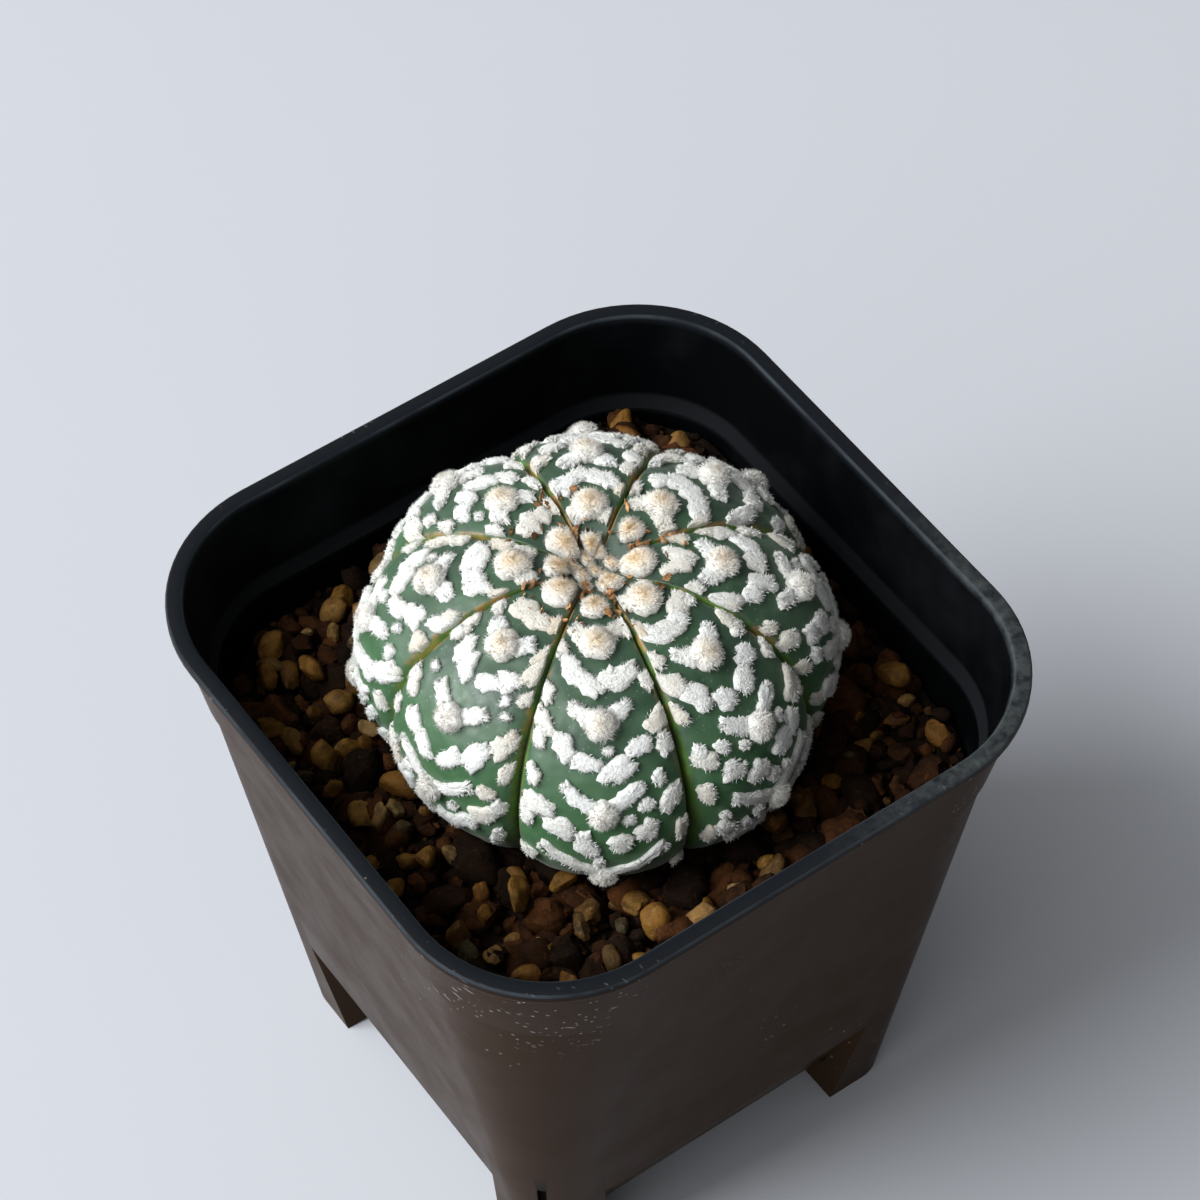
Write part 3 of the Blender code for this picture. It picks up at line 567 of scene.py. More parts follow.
def earth_look(name, tones, mottling, rough):
    """Mineral grains: a colour for each grain by its tone, mottled, pitted and dusty.

    mottling is the fineness of the mottles, in mottles per metre.
    """
    look, tree, shader = new_look(name, Roughness=rough, Specular_IOR_Level=0.12)
    spot = place(tree)
    ramp = tree.nodes.new("ShaderNodeValToRGB")
    ramp.color_ramp.interpolation = "EASE"
    stops = ramp.color_ramp.elements
    for at in np.linspace(0.0, 1.0, len(tones))[1:-1]:
        stops.new(at)
    for index, colour in enumerate(tones):
        stops[index].position = index / (len(tones) - 1)
        stops[index].color = (*colour, 1.0)
    tree.links.new(painted(tree, "tone"), ramp.inputs["Fac"])
    mottle = noise(tree, spot, mottling, 5.0, 0.65)
    dark = tuple(EARTH_DARKEST * value for value in tones[0])
    pale = tuple(min(1.0, EARTH_DUST * value) for value in tones[-1])
    pitted = between(tree, mottle, 0.60, 0.30, 0.0, 0.65)
    colour = blend(tree, pitted, ramp.outputs["Color"], dark)
    dust = between(tree, noise(tree, spot, mottling * 2.3, 3.0), 0.60, 0.75, 0.0, 0.22)
    colour = blend(tree, dust, colour, pale)
    pits = relief(tree, mottle, 0.8, 0.25 * MM)
    grit = relief(tree, noise(tree, spot, mottling * 4, 3.0), 0.6, 0.1 * MM, pits)
    feed(tree, shader, Base_Color=colour, Normal=grit)
    return look


# --- Pot ----------------------------------------------------------------------------------
def wall_level(height):
    """Half width and corner radius of the tapering wall's outside at a height."""
    share = height / COLLAR_BOTTOM
    half = BASE_HALF + (BODY_HALF - BASE_HALF) * share
    corner = BASE_CORNER + (BODY_CORNER - BASE_CORNER) * share
    return half, corner


def pot_ring(half, corner, height, foot=FOOT_LENGTH, lift=0.0):
    """A level rounded square whose sides stand back between the feet.

    One side runs straight between its two steps, then an arc of a quarter turn follows; the
    other three are the same, turned by quarter turns.
    """
    back = STEP_DEPTH * max(0.0, 1.0 - height / STEP_TOP)
    edge = min(half - foot, half - corner - STEP_RETURN)
    along = np.linspace(-edge + STEP_RETURN, edge - STEP_RETURN, SIDE_PARTS + 1)
    side = np.stack([np.full_like(along, half - back), along, np.full_like(along, height + lift)], -1)
    angle = np.linspace(0.0, math.pi / 2, CORNER_SIDES + 1)
    arc = np.stack([half - corner + corner * np.cos(angle), half - corner + corner * np.sin(angle),
                    np.full_like(angle, height)], -1)
    quarter = np.concatenate([[(half, -edge, height)], side, [(half, edge, height)], arc])
    x, y, z = quarter.T
    return np.concatenate([np.stack([x * c - y * s, x * s + y * c, z], -1)
                           for c, s in ((1, 0), (0, 1), (-1, 0), (0, -1))])


def inner_ring(height, inset, lift=0.0):
    """A ring that lies inside the tapering wall's outside by an inset, feet included."""
    half, corner = wall_level(height)
    return pot_ring(half - inset, max(corner - inset, MM), height, FOOT_LENGTH - 2 * inset, lift)


def outer_ring(height, lift=0.0):
    """A ring on the outside of the tapering wall."""
    return pot_ring(*wall_level(height), height, lift=lift)


def closed_stack(rings):
    """Points and faces of a closed solid through rings, with one flat face at either end."""
    rings = np.asarray(rings)
    count = rings.shape[1]
    around = np.arange(count)[None, :]
    return rings.reshape(-1, 3), [band_faces(rings.shape[0], count), around[:, ::-1],
                                  around + (rings.shape[0] - 1) * count]


def drill(name, ring_points, bottom, top):
    """An upright cutter with a given outline, as an object on its own."""
    rings = [np.concatenate([ring_points, np.full((len(ring_points), 1), z)], 1) for z in (bottom, top)]
    return bpy.data.objects.new(name, mesh_of(name, *closed_stack(rings)))


def round_outline(radius, x, y, sides=32):
    """A level circle of points."""
    angle = np.linspace(0, 2 * math.pi, sides, endpoint=False)
    return np.stack([x + radius * np.cos(angle), y + radius * np.sin(angle)], -1)


def bar_outline(length, width, reach, turn):
    """A level rectangle, centred at a reach from the middle in a direction."""
    along = np.array([-1, 1, 1, -1]) * length / 2 + reach
    across = np.array([-1, -1, 1, 1]) * width / 2
    cos, sin = math.cos(turn), math.sin(turn)
    return np.stack([along * cos - across * sin, along * sin + across * cos], -1)


def pot_cutters():
    """Drain holes in the floor, a notch under each side and a slit up each corner."""
    cutters = [drill("drain", round_outline(DRAIN_RADIUS, 0, 0), 0.0, 2 * FLOOR_TOP)]
    half, corner = wall_level((SLIT_TOP + SLIT_BOTTOM) / 2)
    corner_reach = (half - corner) * math.sqrt(2) + corner
    for quarter in range(4):
        side = math.pi / 2 * quarter
        diagonal = side + math.pi / 4
        x, y = SIDE_DRAIN_RING * math.cos(diagonal), SIDE_DRAIN_RING * math.sin(diagonal)
        cutters.append(drill("side_drain", round_outline(SIDE_DRAIN_RADIUS, x, y), 0.0, 2 * FLOOR_TOP))
        notch = bar_outline(4 * MM, NOTCH_WIDTH, BASE_HALF - STEP_DEPTH, side)
        cutters.append(drill("notch", notch, -2 * MM, NOTCH_TOP))
        slit = bar_outline(6 * MM, SLIT_WIDTH, corner_reach, diagonal)
        cutters.append(drill("slit", slit, SLIT_BOTTOM, SLIT_TOP))
    return cutters


def cut_away(target, cutters):
    """Cut all the cutters out of the target at once and remove them."""
    group = bpy.data.collections.new("cutters")
    bpy.context.scene.collection.children.link(group)
    for cutter in cutters:
        group.objects.link(cutter)
    change = target.modifiers.new("openings", "BOOLEAN")
    change.operation = "DIFFERENCE"
    change.solver = "EXACT"
    change.operand_type = "COLLECTION"
    change.collection = group
    ready = target.evaluated_get(bpy.context.evaluated_depsgraph_get())
    cut = bpy.data.meshes.new_from_object(ready)
    target.modifiers.clear()
    target.data = cut
    for cutter in cutters:
        bpy.data.objects.remove(cutter, do_unlink=True)
    bpy.data.collections.remove(group)


def rounded_edge(half, corner, height, radius, start, end, steps=4):
    """Rings round a lip's edge: the centre of the rounding is level with half and height."""
    made = []
    for angle in np.linspace(math.radians(start), math.radians(end), steps):
        out = radius * math.cos(angle)
        made.append(pot_ring(half + out, corner + out, height + radius * math.sin(angle)))
    return made


def build_pot():
    """The pot as one surface: under the floor, down the skirt, up the outside, over the lip, in."""
    collar_half = BODY_HALF + COLLAR_STEP
    collar_top = RIM_HALF - 0.8 * MM
    lip_under = POT_HEIGHT - RIM_THICK
    inner_half = RIM_HALF - RIM_WIDTH
    r = RIM_ROUND
    rings = [
        inner_ring(FLOOR_UNDER, WALL),
        inner_ring(0.0, WALL, SIDE_LIFT),
        outer_ring(0.0, SIDE_LIFT),
        *[outer_ring(height) for height in np.linspace(STEP_TOP / 4, STEP_TOP, 4)],
        *[outer_ring(height) for height in np.linspace(STEP_TOP, COLLAR_BOTTOM - 0.2 * MM, 6)[1:]],
        outer_ring(COLLAR_BOTTOM),
        pot_ring(collar_half, BODY_CORNER + COLLAR_STEP, COLLAR_BOTTOM + 0.5 * MM),
        pot_ring(collar_half + 0.05 * MM, BODY_CORNER + COLLAR_STEP, COLLAR_BOTTOM + 0.9 * MM),
        pot_ring(collar_top - 0.05 * MM, RIM_CORNER - 0.85 * MM, lip_under - 0.6 * MM),
        pot_ring(collar_top, RIM_CORNER - 0.8 * MM, lip_under - 0.3 * MM),
        *rounded_edge(RIM_HALF - r, RIM_CORNER - r, lip_under + r, r, -80, 0),
        *rounded_edge(RIM_HALF - r, RIM_CORNER - r, POT_HEIGHT - r, r, 0, 90),
        pot_ring(inner_half + r + 0.2 * MM, RIM_CORNER - RIM_WIDTH + r, POT_HEIGHT),
        *rounded_edge(inner_half + r, RIM_CORNER - RIM_WIDTH + r, POT_HEIGHT - r, r, 90, 180),
        pot_ring(inner_half - 0.2 * MM, RIM_CORNER - RIM_WIDTH, POT_HEIGHT - 1.0 * MM),
        pot_ring(collar_half - WALL, BODY_CORNER - WALL / 2, POT_LEDGE + 0.6 * MM),
        inner_ring(POT_LEDGE - 0.6 * MM, WALL + COLLAR_STEP / 2),
        inner_ring(POT_LEDGE - 1.2 * MM, WALL + COLLAR_STEP / 4),
        *[inner_ring(height, WALL) for height in np.linspace(COLLAR_BOTTOM - 6 * MM, STEP_TOP, 3)],
        inner_ring(FLOOR_TOP, WALL),
    ]
    points, faces = closed_stack(rings)
    pot = piece("pot_shell", points, faces, pot_look())
    levels = np.array([ring[:, 2].mean() for ring in rings])
    first, last = 2, int(levels.argmax())
    outside = ((np.arange(len(rings)) >= first) & (np.arange(len(rings)) <= last)).astype(float)
    paint(pot, "outside", np.repeat(outside, len(rings[0])))
    cut_away(pot, pot_cutters())
    pot.data.polygons.foreach_set("use_smooth", [True] * len(pot.data.polygons))
    pot.data.set_sharp_from_angle(angle=POT_SHARP)
    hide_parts("pot")


# --- Plant --------------------------------------------------------------------------------
def outline():
    """Radius and height of the body's outline and the distance along it from the crown.

    Above the widest level: radius = R cos(t)^p and height = H sin(t)^q less the dimple
    D exp(-(radius / d)^2); below it the belly follows the same kind of curve to the root.
    """
    upper = np.linspace(math.pi / 2, 0.0, 160)
    radius = BODY_RADIUS * np.cos(upper).clip(0) ** CROWN_POWERS[0]
    height = CROWN_RISE * np.sin(upper) ** CROWN_POWERS[1]
    height -= DIMPLE_DEPTH * np.exp(-(radius / DIMPLE_RADIUS) ** 2)
    lower = np.linspace(0.0, math.pi / 2, 120)[1:]
    belly_radius = BODY_RADIUS * np.cos(lower).clip(0) ** BELLY_POWERS[0]
    belly_height = -BELLY_DROP * np.sin(lower) ** BELLY_POWERS[1]
    above_root = belly_radius > ROOT_RADIUS
    radius = np.concatenate([radius, belly_radius[above_root], [ROOT_TIP]])
    height = np.concatenate([height, belly_height[above_root], [-ROOT_END]])
    steps = np.hypot(np.diff(radius), np.diff(height))
    return radius, height, np.concatenate([[0.0], np.cumsum(steps)])


OUTLINE = outline()


def outline_radius(along):
    """The outline's radius at distances along it."""
    return np.interp(along, OUTLINE[2], OUTLINE[0])


def outline_height(along):
    """The outline's height, over the widest level, at distances along it."""
    return np.interp(along, OUTLINE[2], OUTLINE[1])


def fullness(direction, height):
    """How much fuller the body is in a direction: one plus a sum of cosines round the plant."""
    share = ((0.9 * CROWN_RISE - height) / (0.9 * CROWN_RISE + 4 * MM)).clip(0.0, 1.0)
    share = share * share * (3 - 2 * share)
    total = sum(size * np.cos(lobes * (direction - way)) for lobes, size, way in FULLNESS)
    return 1 + share * total


def rib_side(direction):
    """0 on a rib's crest, 1 in the furrow."""
    return np.abs(((direction - FIRST_RIB) / (2 * math.pi) * RIBS + 0.5) % 1 - 0.5) * 2


def skin(direction, along, lift=0.0, crease=0.0):
    """Points of the skin for directions round the plant and distances along its outline.

    reach = outline radius x (1 - (swell side^2 + groove side^9)) x fullness, and lift raises
    the point along the outline's outward normal; crease sharpens the furrow's bottom.
    """
    direction, along = np.broadcast_arrays(direction, along)
    radius = outline_radius(along)
    height = outline_height(along)
    side = rib_side(direction)
    ribbed = (radius / (0.5 * BODY_RADIUS)).clip(0, 1)
    furrow = RIB_SWELL * side ** 2 + GROOVE_DEPTH * side ** GROOVE_POWER
    reach = radius * (1 - furrow * ribbed) * fullness(direction, height)
    sharp = np.exp(-((1 - side) / CREASE_WIDTH) ** 2) * (radius / (0.2 * BODY_RADIUS)).clip(0, 1)
    step = 0.2 * MM
    run = outline_radius(along + step) - outline_radius(along - step)
    drop = outline_height(along - step) - outline_height(along + step)
    length = np.hypot(run, drop)
    raised = lift - crease * sharp
    reach = reach + raised * (drop / length)
    return np.stack([
        PLANT_X + reach * np.cos(direction),
        PLANT_Y + reach * np.sin(direction),
        PLANT_MIDDLE + height + raised * (run / length),
    ], axis=-1)


def build_skin(look):
    """The ribbed body as a fine grid: columns closest in the furrows, rows down the outline."""
    even = np.linspace(-1.0, 1.0, SKIN_COLUMNS, endpoint=False)
    offsets = np.sign(even) * (1 - (1 - np.abs(even)) ** 1.5) * math.pi / RIBS
    directions = (FIRST_RIB + RIB_TURN * np.arange(RIBS)[:, None] + offsets).ravel()
    rows = np.concatenate([
        np.linspace(0.35 * MM, SOIL_ALONG, SKIN_ROWS[0]),
        np.linspace(SOIL_ALONG, OUTLINE[2][-1], SKIN_ROWS[1] + 1)[1:],
    ])
    grid = skin(directions[None, :], rows[:, None], 0.0, CREASE_DEPTH)
    uneven = sum(size * ripple(grid, length, seed) * (rows[:, None] / full).clip(0, 1)
                 for size, length, seed, full in SKIN_WAVES)
    grid = skin(directions[None, :], rows[:, None], uneven, CREASE_DEPTH)
    crown = skin(np.zeros(1), np.zeros(1))
    tip = grid[-1].mean(0, keepdims=True)
    count = len(directions)
    points = np.concatenate([grid.reshape(-1, 3), crown, tip])
    total = grid.shape[0] * count
    faces = [band_faces(grid.shape[0], count)[:, ::-1], fan_faces(0, count, total),
             fan_faces(total - count, count, total + 1, outward=False)]
    body = piece("cactus_skin", points, faces, look)
    side = np.concatenate([np.broadcast_to(rib_side(directions), (len(rows), count)).ravel(), [0, 0]])
    age = np.concatenate([np.repeat(rows / MARKS_END, count), [0, 1.5]])
    paint(body, "furrow", side)
    paint(body, "age", age)
    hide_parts("cactus")


def rib_half_width(along):
    """Half of a rib's width at distances from the crown."""
    return math.pi / RIBS * outline_radius(along)


def part_way(pair, share):
    """The value a share of the way from the first of a pair to the second."""
    return pair[0] + (pair[1] - pair[0]) * np.clip(share, 0.0, 1.0)


def mark_layout():
    """Every woolly mark by the same rule and the same draws as the solid's.

    A mark is (rib, along, across, length, width, turn), and a pad (rib, along, width, height).
    Pads come every pitch down a rib, each with two arms; rows of flecks lie between them and
    small dots beside the furrows.
    """
    draw = random.Random(MARK_SEED)
    pads, arms, flecks, dots = [], [], [], []
    for rib in range(RIBS):
        young = FIRST_PAD[rib] - YOUNG_PAD
        if young > 1.5 * MM:
            pads.append((rib, young, YOUNG_PAD_WIDTH, YOUNG_PAD_HEIGHT))
        along = FIRST_PAD[rib]
        pitch = PAD_PITCH
        while along < MARKS_END:
            age = along / MARKS_END
            pads.append((rib, along, part_way(PAD_WIDTHS, age), part_way(PAD_HEIGHTS, age)))
            room = 0.85 * rib_half_width(along) / math.cos(ARM_RISE)
            length = min(part_way(ARM_LENGTHS, age ** ARM_LENGTHENING), room)
            for hand in (-1, 1):
                middle = along - length / 2 * math.sin(ARM_RISE)
                side = hand * length / 2 * math.cos(ARM_RISE)
                arms.append((rib, middle, side, length, part_way(ARM_WIDTHS, age), -hand * ARM_RISE))
            middle = along + pitch / 2 + 0.6 * MM
            if middle < MARKS_END:
                half = rib_half_width(middle)
                per_side = 1 if half < 4 * MM else 2 if half < 7 * MM else 3
                for hand in (-1, 1):
                    for i in range(per_side):
                        side = half * (FLECK_FIRST + FLECK_STEP * i + draw.uniform(-0.03, 0.03))
                        up = 0.6 * side + (1.0 * MM if i == 2 else 0.0)
                        place_along = middle - up + draw.uniform(-0.5, 0.5) * MM
                        length = draw.uniform(*FLECK_LENGTHS)
                        width = draw.uniform(*FLECK_WIDTHS)
                        turn = -hand * ARM_RISE + draw.uniform(-0.7, 0.7)
                        flecks.append((rib, place_along, hand * side, length, width, turn))
            along += pitch
            pitch += PAD_GROWTH
        for hand in (-1, 1):
            along = EDGE_START + draw.uniform(0, 3) * MM
            while along < MARKS_END:
                side = hand * rib_half_width(along) * draw.uniform(*EDGE_SIDES)
                length = draw.uniform(*EDGE_LENGTHS)
                turn = math.pi / 2 + draw.uniform(-0.5, 0.5)
                dots.append((rib, along, side, length, draw.uniform(*EDGE_WIDTHS), turn))
                along += EDGE_PITCH * draw.uniform(0.75, 1.3)
    return np.array(pads), np.array(arms), np.array(flecks), np.array(dots)


def filler_flecks(taken, draw):
    """Small flecks in what room the other marks leave: random places kept well apart.

    A place is kept if it lies further than its own half length from every point on the other
    marks' long middles and from the places kept before it.
    """
    ends = np.array([-0.5, -0.17, 0.17, 0.5])
    run = (taken[:, 3] - taken[:, 4]).clip(0)[:, None] * ends
    side = (taken[:, 2:3] + run * np.cos(taken[:, 5:6])).ravel()
    down = (taken[:, 1:2] + run * np.sin(taken[:, 5:6])).ravel()
    rib = np.repeat(taken[:, 0], 4)
    wide = np.repeat(taken[:, 4], 4) / 2
    kept = []
    for number in range(RIBS):
        near = rib == number
        spots = [np.stack([down[near], side[near], wide[near]], -1)]
        along = EDGE_START + (FILLER_END - EDGE_START) * draw.uniform(0, 1, FILLER_TRIES) ** 0.7
        across = rib_half_width(along) * draw.uniform(-FILLER_SIDE, FILLER_SIDE, FILLER_TRIES)
        size = part_way(FILLER_SIZES, draw.uniform(0, 1, FILLER_TRIES))
        for i in range(FILLER_TRIES):
            others = np.concatenate(spots)
            apart = np.hypot(others[:, 0] - along[i], others[:, 1] - across[i]) - others[:, 2]
            if apart.min() > size[i] / 2 + FILLER_GAP:
                spots.append(np.array([[along[i], across[i], size[i] / 2]]))
                kept.append((number, along[i], across[i], size[i] * draw.uniform(1.0, 1.5), size[i],
                             draw.uniform(0, math.pi)))
    return np.array(kept)


def on_rib(marks, x, y, lift):
    """Skin points of small flat patterns x, y laid on their ribs, turned, and raised by lift.

    down = along + x sin(turn) + y cos(turn) and side = across + x cos(turn) - y sin(turn);
    the direction is the rib's plus side over the outline's radius at the mark. Whatever comes
    nearer to a furrow than its clear strip is pressed together there, to a small share.
    """
    shape = (-1,) + (1,) * (x.ndim - 1)
    rib, along, across, _, _, turn = (column.reshape(shape) for column in marks.T)
    down = along + x * np.sin(turn) + y * np.cos(turn)
    side = across + x * np.cos(turn) - y * np.sin(turn)
    offset = side / outline_radius(along)
    room = (math.pi / RIBS - FURROW_CLEAR / outline_radius(down)).clip(0.02)
    pressed = np.sign(offset) * (room + FURROW_PRESS * (np.abs(offset) - room))
    offset = np.where(np.abs(offset) > room, pressed, offset)
    return skin(FIRST_RIB + RIB_TURN * rib + offset, down, lift)


def patch_shape(marks, sides, draw, rough=1.0):
    """Ragged outlines of woolly patches: x and y scale functions of the angle round each.

    x = ridge clip(1.5 cos t) + b cos t and y = b sin t + bow x^2, where b is half the width
    times one plus slow lobes and a ragged edge, both scaled by rough, and all but the ridge
    shrinks with the scale.
    """
    count = len(marks)
    angle = np.linspace(0, 2 * math.pi, sides, endpoint=False)[None, :]
    length, width = marks[:, 3:4], marks[:, 4:5]
    ridge = np.maximum(0.0, length - width) / 2
    lobes = 1 + 0.10 * rough * np.cos(3 * angle + draw.uniform(0, 6.3, (count, 1)))
    lobes = lobes + 0.07 * rough * np.cos(5 * angle + draw.uniform(0, 6.3, (count, 1)))
    ragged = 1 + rough * draw.uniform(-0.17, 0.17, (count, sides))
    half = width / 2 * lobes * ragged
    bow = draw.uniform(-0.05, 0.05, (count, 1)) / MM

    def at(scale):
        shortened = min(1.0, 0.4 + 0.6 * scale)
        x = ridge * np.clip(1.5 * np.cos(angle), -1, 1) * shortened
        x = x + scale * half * np.cos(angle)
        return x, scale * half * np.sin(angle) + bow * x ** 2

    return at


def domes(marks, at, sides, rings, heights, uneven, draw, lay=on_rib):
    """Points, faces, rise and size of closed domes: a ring for every (scale, share of height).

    A ring's points lie at its share of the dome's height, raised or lowered at random by
    uneven above half height; one point closes the top and one the hidden bottom.
    """
    heights = np.broadcast_to(heights, len(marks))[:, None]
    xs, ys, lifts = [], [], []
    for scale, share in rings:
        x, y = at(scale)
        xs.append(x)
        ys.append(y)
        lifts.append(heights * (share + uneven * draw.uniform(-1, 1, x.shape) * (share > 0.5)))
    x, y = at(0.0)
    for share in (1.05 * rings[-1][1], rings[0][1]):
        xs.append(x.mean(1, keepdims=True))
        ys.append(y.mean(1, keepdims=True))
        lifts.append(heights * share)
    points = lay(marks, np.concatenate(xs, 1), np.concatenate(ys, 1), np.concatenate(lifts, 1))
    size = sides * len(rings) + 2
    last = sides * (len(rings) - 1)
    one = [band_faces(len(rings), sides)[:, ::-1], fan_faces(last, sides, size - 2, outward=False),
           fan_faces(0, sides, size - 1)]
    rise = np.concatenate([np.repeat([max(share, 0.0) for _, share in rings], sides), [1.0, 0.0]])
    return points, [repeated(group, len(marks), size) for group in one], np.tile(rise, len(marks)), size


def hairs(marks, per_mark, height, length, width, spread, draw, lay=on_rib):
    """Points, faces and shares of fine hairs: thin three-sided spikes, each closed.

    Each starts inside its patch's outline at a random angle and share of the way out, and
    leans outwards and up; spread says how much closer to the middle they may start.
    """
    count = len(marks)
    angle = draw.uniform(0, 2 * math.pi, (count, per_mark))
    share = 1 - spread * draw.uniform(0, 1, (count, per_mark)) ** 1.5
    ridge = np.maximum(0.0, marks[:, 3:4] - marks[:, 4:5]) / 2
    half = marks[:, 4:5] / 2
    x0 = ridge * np.clip(1.5 * np.cos(angle), -1, 1) + share * half * np.cos(angle)
    y0 = share * half * np.sin(angle)
    lean = angle + draw.normal(0, 0.45, angle.shape)
    reach = draw.uniform(length[0], length[1], angle.shape)
    flat = np.sqrt(np.clip(share, 0, 1)) * draw.uniform(0.75, 1.0, angle.shape)
    base = height * (0.25 + 0.75 * np.sqrt(np.clip(1 - share ** 2, 0, 1)))
    across_x, across_y = -np.sin(lean) * width / 2, np.cos(lean) * width / 2
    low = np.maximum(base - width, -0.1 * MM)
    back_x, back_y = -0.3 * width * np.cos(lean), -0.3 * width * np.sin(lean)
    tip_x, tip_y = reach * flat * np.cos(lean), reach * flat * np.sin(lean)
    xs = [x0 + across_x, x0 - across_x, x0 + back_x, x0 + tip_x]
    ys = [y0 + across_y, y0 - across_y, y0 + back_y, y0 + tip_y]
    rise = reach * np.sqrt(np.clip(1 - flat ** 2, 0, 1)) * 0.9
    lifts = [low, low, base + 0.4 * width, base + rise]
    x, y, lift = (np.stack(group, -1) for group in (xs, ys, lifts))
    points = lay(marks, x, y, lift)
    one = np.array([(0, 2, 1), (0, 1, 3), (1, 2, 3), (2, 0, 3)])
    return points.reshape(-1, 3), repeated(one, count * per_mark, 4), share


def build_wool():
    """All the woolly marks: flecks, arms, pads and their hairs."""
    draw = np.random.default_rng(LOOK_SEED)
    pads, arms, flecks, dots = mark_layout()
    rib, along, width, _ = pads.T
    pad_marks = np.stack([rib, along, 0 * rib, width, width, 0 * rib], -1)
    strength = (1.15 - 1.9 * along / MARKS_END).clip(0.12, 1.0)
    white = wool_look("white_felted_wool", *FLECK_WOOL, FIBRES[0])
    cream = wool_look("cream_pad_wool", *PAD_WOOL, FIBRES[1])
    fillers = filler_flecks(np.concatenate([pad_marks, arms, flecks, dots]), draw)
    flecks[:, 3:5] *= FLECK_SPREAD
    dots[:, 3:5] *= FLECK_SPREAD
    arms[:, 4] *= ARM_SPREAD
    small = np.concatenate([flecks, dots, fillers])
    for name, marks, sides in (("woolly_flecks", small, FLECK_SIDES), ("woolly_arms", arms, ARM_SIDES)):
        at = patch_shape(marks, sides, draw, FLECK_RAGGED)
        points, faces, rise, size = domes(marks, at, sides, FLECK_RINGS, FLECK_HEIGHT, FLECK_UNEVEN,
                                          draw)
        made = piece(name, points, faces, white)
        by_furrow = np.abs(marks[:, 2]) / rib_half_width(marks[:, 1]) > CREAMY_FROM
        tone = draw.uniform(0, 0.25, len(marks))
        tone = tone + 0.6 * by_furrow * draw.uniform(0, 1, len(marks))
        tone = tone + 0.35 * (marks[:, 1] < CREAMY_TO)
        paint(made, "tone", np.repeat(tone.clip(0, 1), size))
        paint(made, "rise", rise)
        made.data.set_sharp_from_angle(angle=FLECK_SHARP)
    heights = pads[:, 3] * (1 + PAD_GROWN * ((along - PAD_GROWN_FROM) / PAD_GROWN_OVER).clip(0, 1))
    build_pads("woolly_pads", pad_marks, heights, strength, cream, draw)
    low = [hairs(marks, count, FLECK_HEIGHT, EDGE_HAIR, EDGE_HAIR_WIDTH, 0.6, draw)
           for marks, count in ((small, SMALL_HAIRS), (arms, ARM_HAIRS))]
    build_hair_piece("white_hairs", low, [0.1, 0.1], white)
    tufts, tuft_heights = crown_marks(draw)
    tuft_strength = np.full(len(tufts), 0.8)
    build_pads("crown_tufts", tufts, tuft_heights, tuft_strength, cream, draw, lay=over_crown)
    tall = []
    for marks, tops, count, lay in ((pad_marks, heights, PAD_HAIRS, on_rib),
                                    (tufts, tuft_heights, TUFT_HAIRS, over_crown)):
        tall += [hairs(marks[i:i + 1], count, tops[i], PAD_HAIR, PAD_HAIR_WIDTH, 1.0, draw, lay)
                 for i in range(len(marks))]
    creamy = [way * (1.15 - 1.1 * share.ravel()).clip(0, 1)
              for way, (_, _, share) in zip([*strength, *tuft_strength], tall)]
    build_hair_piece("cream_hairs", tall, creamy, cream)


def build_pads(name, marks, heights, strength, look, draw, lay=on_rib):
    """Woolly pads: rounder domes, creamier towards the middle by each pad's own strength."""
    at = patch_shape(marks, PAD_SIDES, draw, PAD_RAGGED)
    points, faces, rise, _ = domes(marks, at, PAD_SIDES, PAD_RINGS, heights, PAD_UNEVEN, draw, lay)
    made = piece(name, points, faces, look)
    inwards = np.repeat([1.15 - scale / 0.9 for scale, _ in PAD_RINGS], PAD_SIDES).clip(0, 1)
    inwards = np.concatenate([inwards, [1.0, 0.0]])
    paint(made, "tone", (strength[:, None] * inwards[None, :]).clip(0, 1))
    paint(made, "rise", rise)


def crown_marks(draw):
    """Young tufts in the dimple, and their heights, on a golden-angle spiral.

    A mark's direction and distance from the crown stand in for its rib and its along, and the
    distance of tuft i is the spiral's start plus its growth times the root of i.
    """
    index = np.arange(CROWN_TUFTS)
    direction = index * GOLDEN_ANGLE + 0.4
    along = TUFT_START + TUFT_SPREAD * np.sqrt(index)
    width = draw.uniform(*TUFT_WIDTHS, CROWN_TUFTS)
    zero = np.zeros(CROWN_TUFTS)
    marks = np.stack([direction, along, zero, width * TUFT_LENGTH, width, zero], -1)
    return marks, width * TUFT_HEIGHT


def over_crown(marks, x, y, lift):
    """Skin points of small patterns near the crown, where the skin is almost level.

    The pattern's flat place gives the direction (its angle) and the distance (its length).
    """
    shape = (-1,) + (1,) * (x.ndim - 1)
    direction, along = (column.reshape(shape) for column in marks.T[:2])
    flat_x = along * np.cos(direction) + y
    flat_y = along * np.sin(direction) + x
    return skin(np.arctan2(flat_y, flat_x), np.hypot(flat_x, flat_y), lift)


def build_hair_piece(name, groups, tones, look):
    """One piece from groups of hairs, each group with one tone or a tone for every hair."""
    points, faces, shades, start = [], [], [], 0
    for (group_points, group_faces, share), tone in zip(groups, tones):
        points.append(group_points)
        faces.append(group_faces + start)
        shades.append(np.repeat(np.broadcast_to(tone, share.size), 4))
        start += len(group_points)
    made = piece(name, np.concatenate(points), faces, look, smooth=False)
    paint(made, "tone", np.concatenate(shades))
    paint(made, "rise", np.ones(start))


# --- Scraps and the shape of grains -------------------------------------------------------
def ball(subdivisions):
    """Points and triangles of a unit ball made by splitting an icosahedron."""
    shape = bmesh.new()
    bmesh.ops.create_icosphere(shape, subdivisions=subdivisions, radius=1.0)
    points = np.array([point.co for point in shape.verts])
    faces = np.array([[point.index for point in face.verts] for face in shape.faces])
    shape.free()
    return points, faces


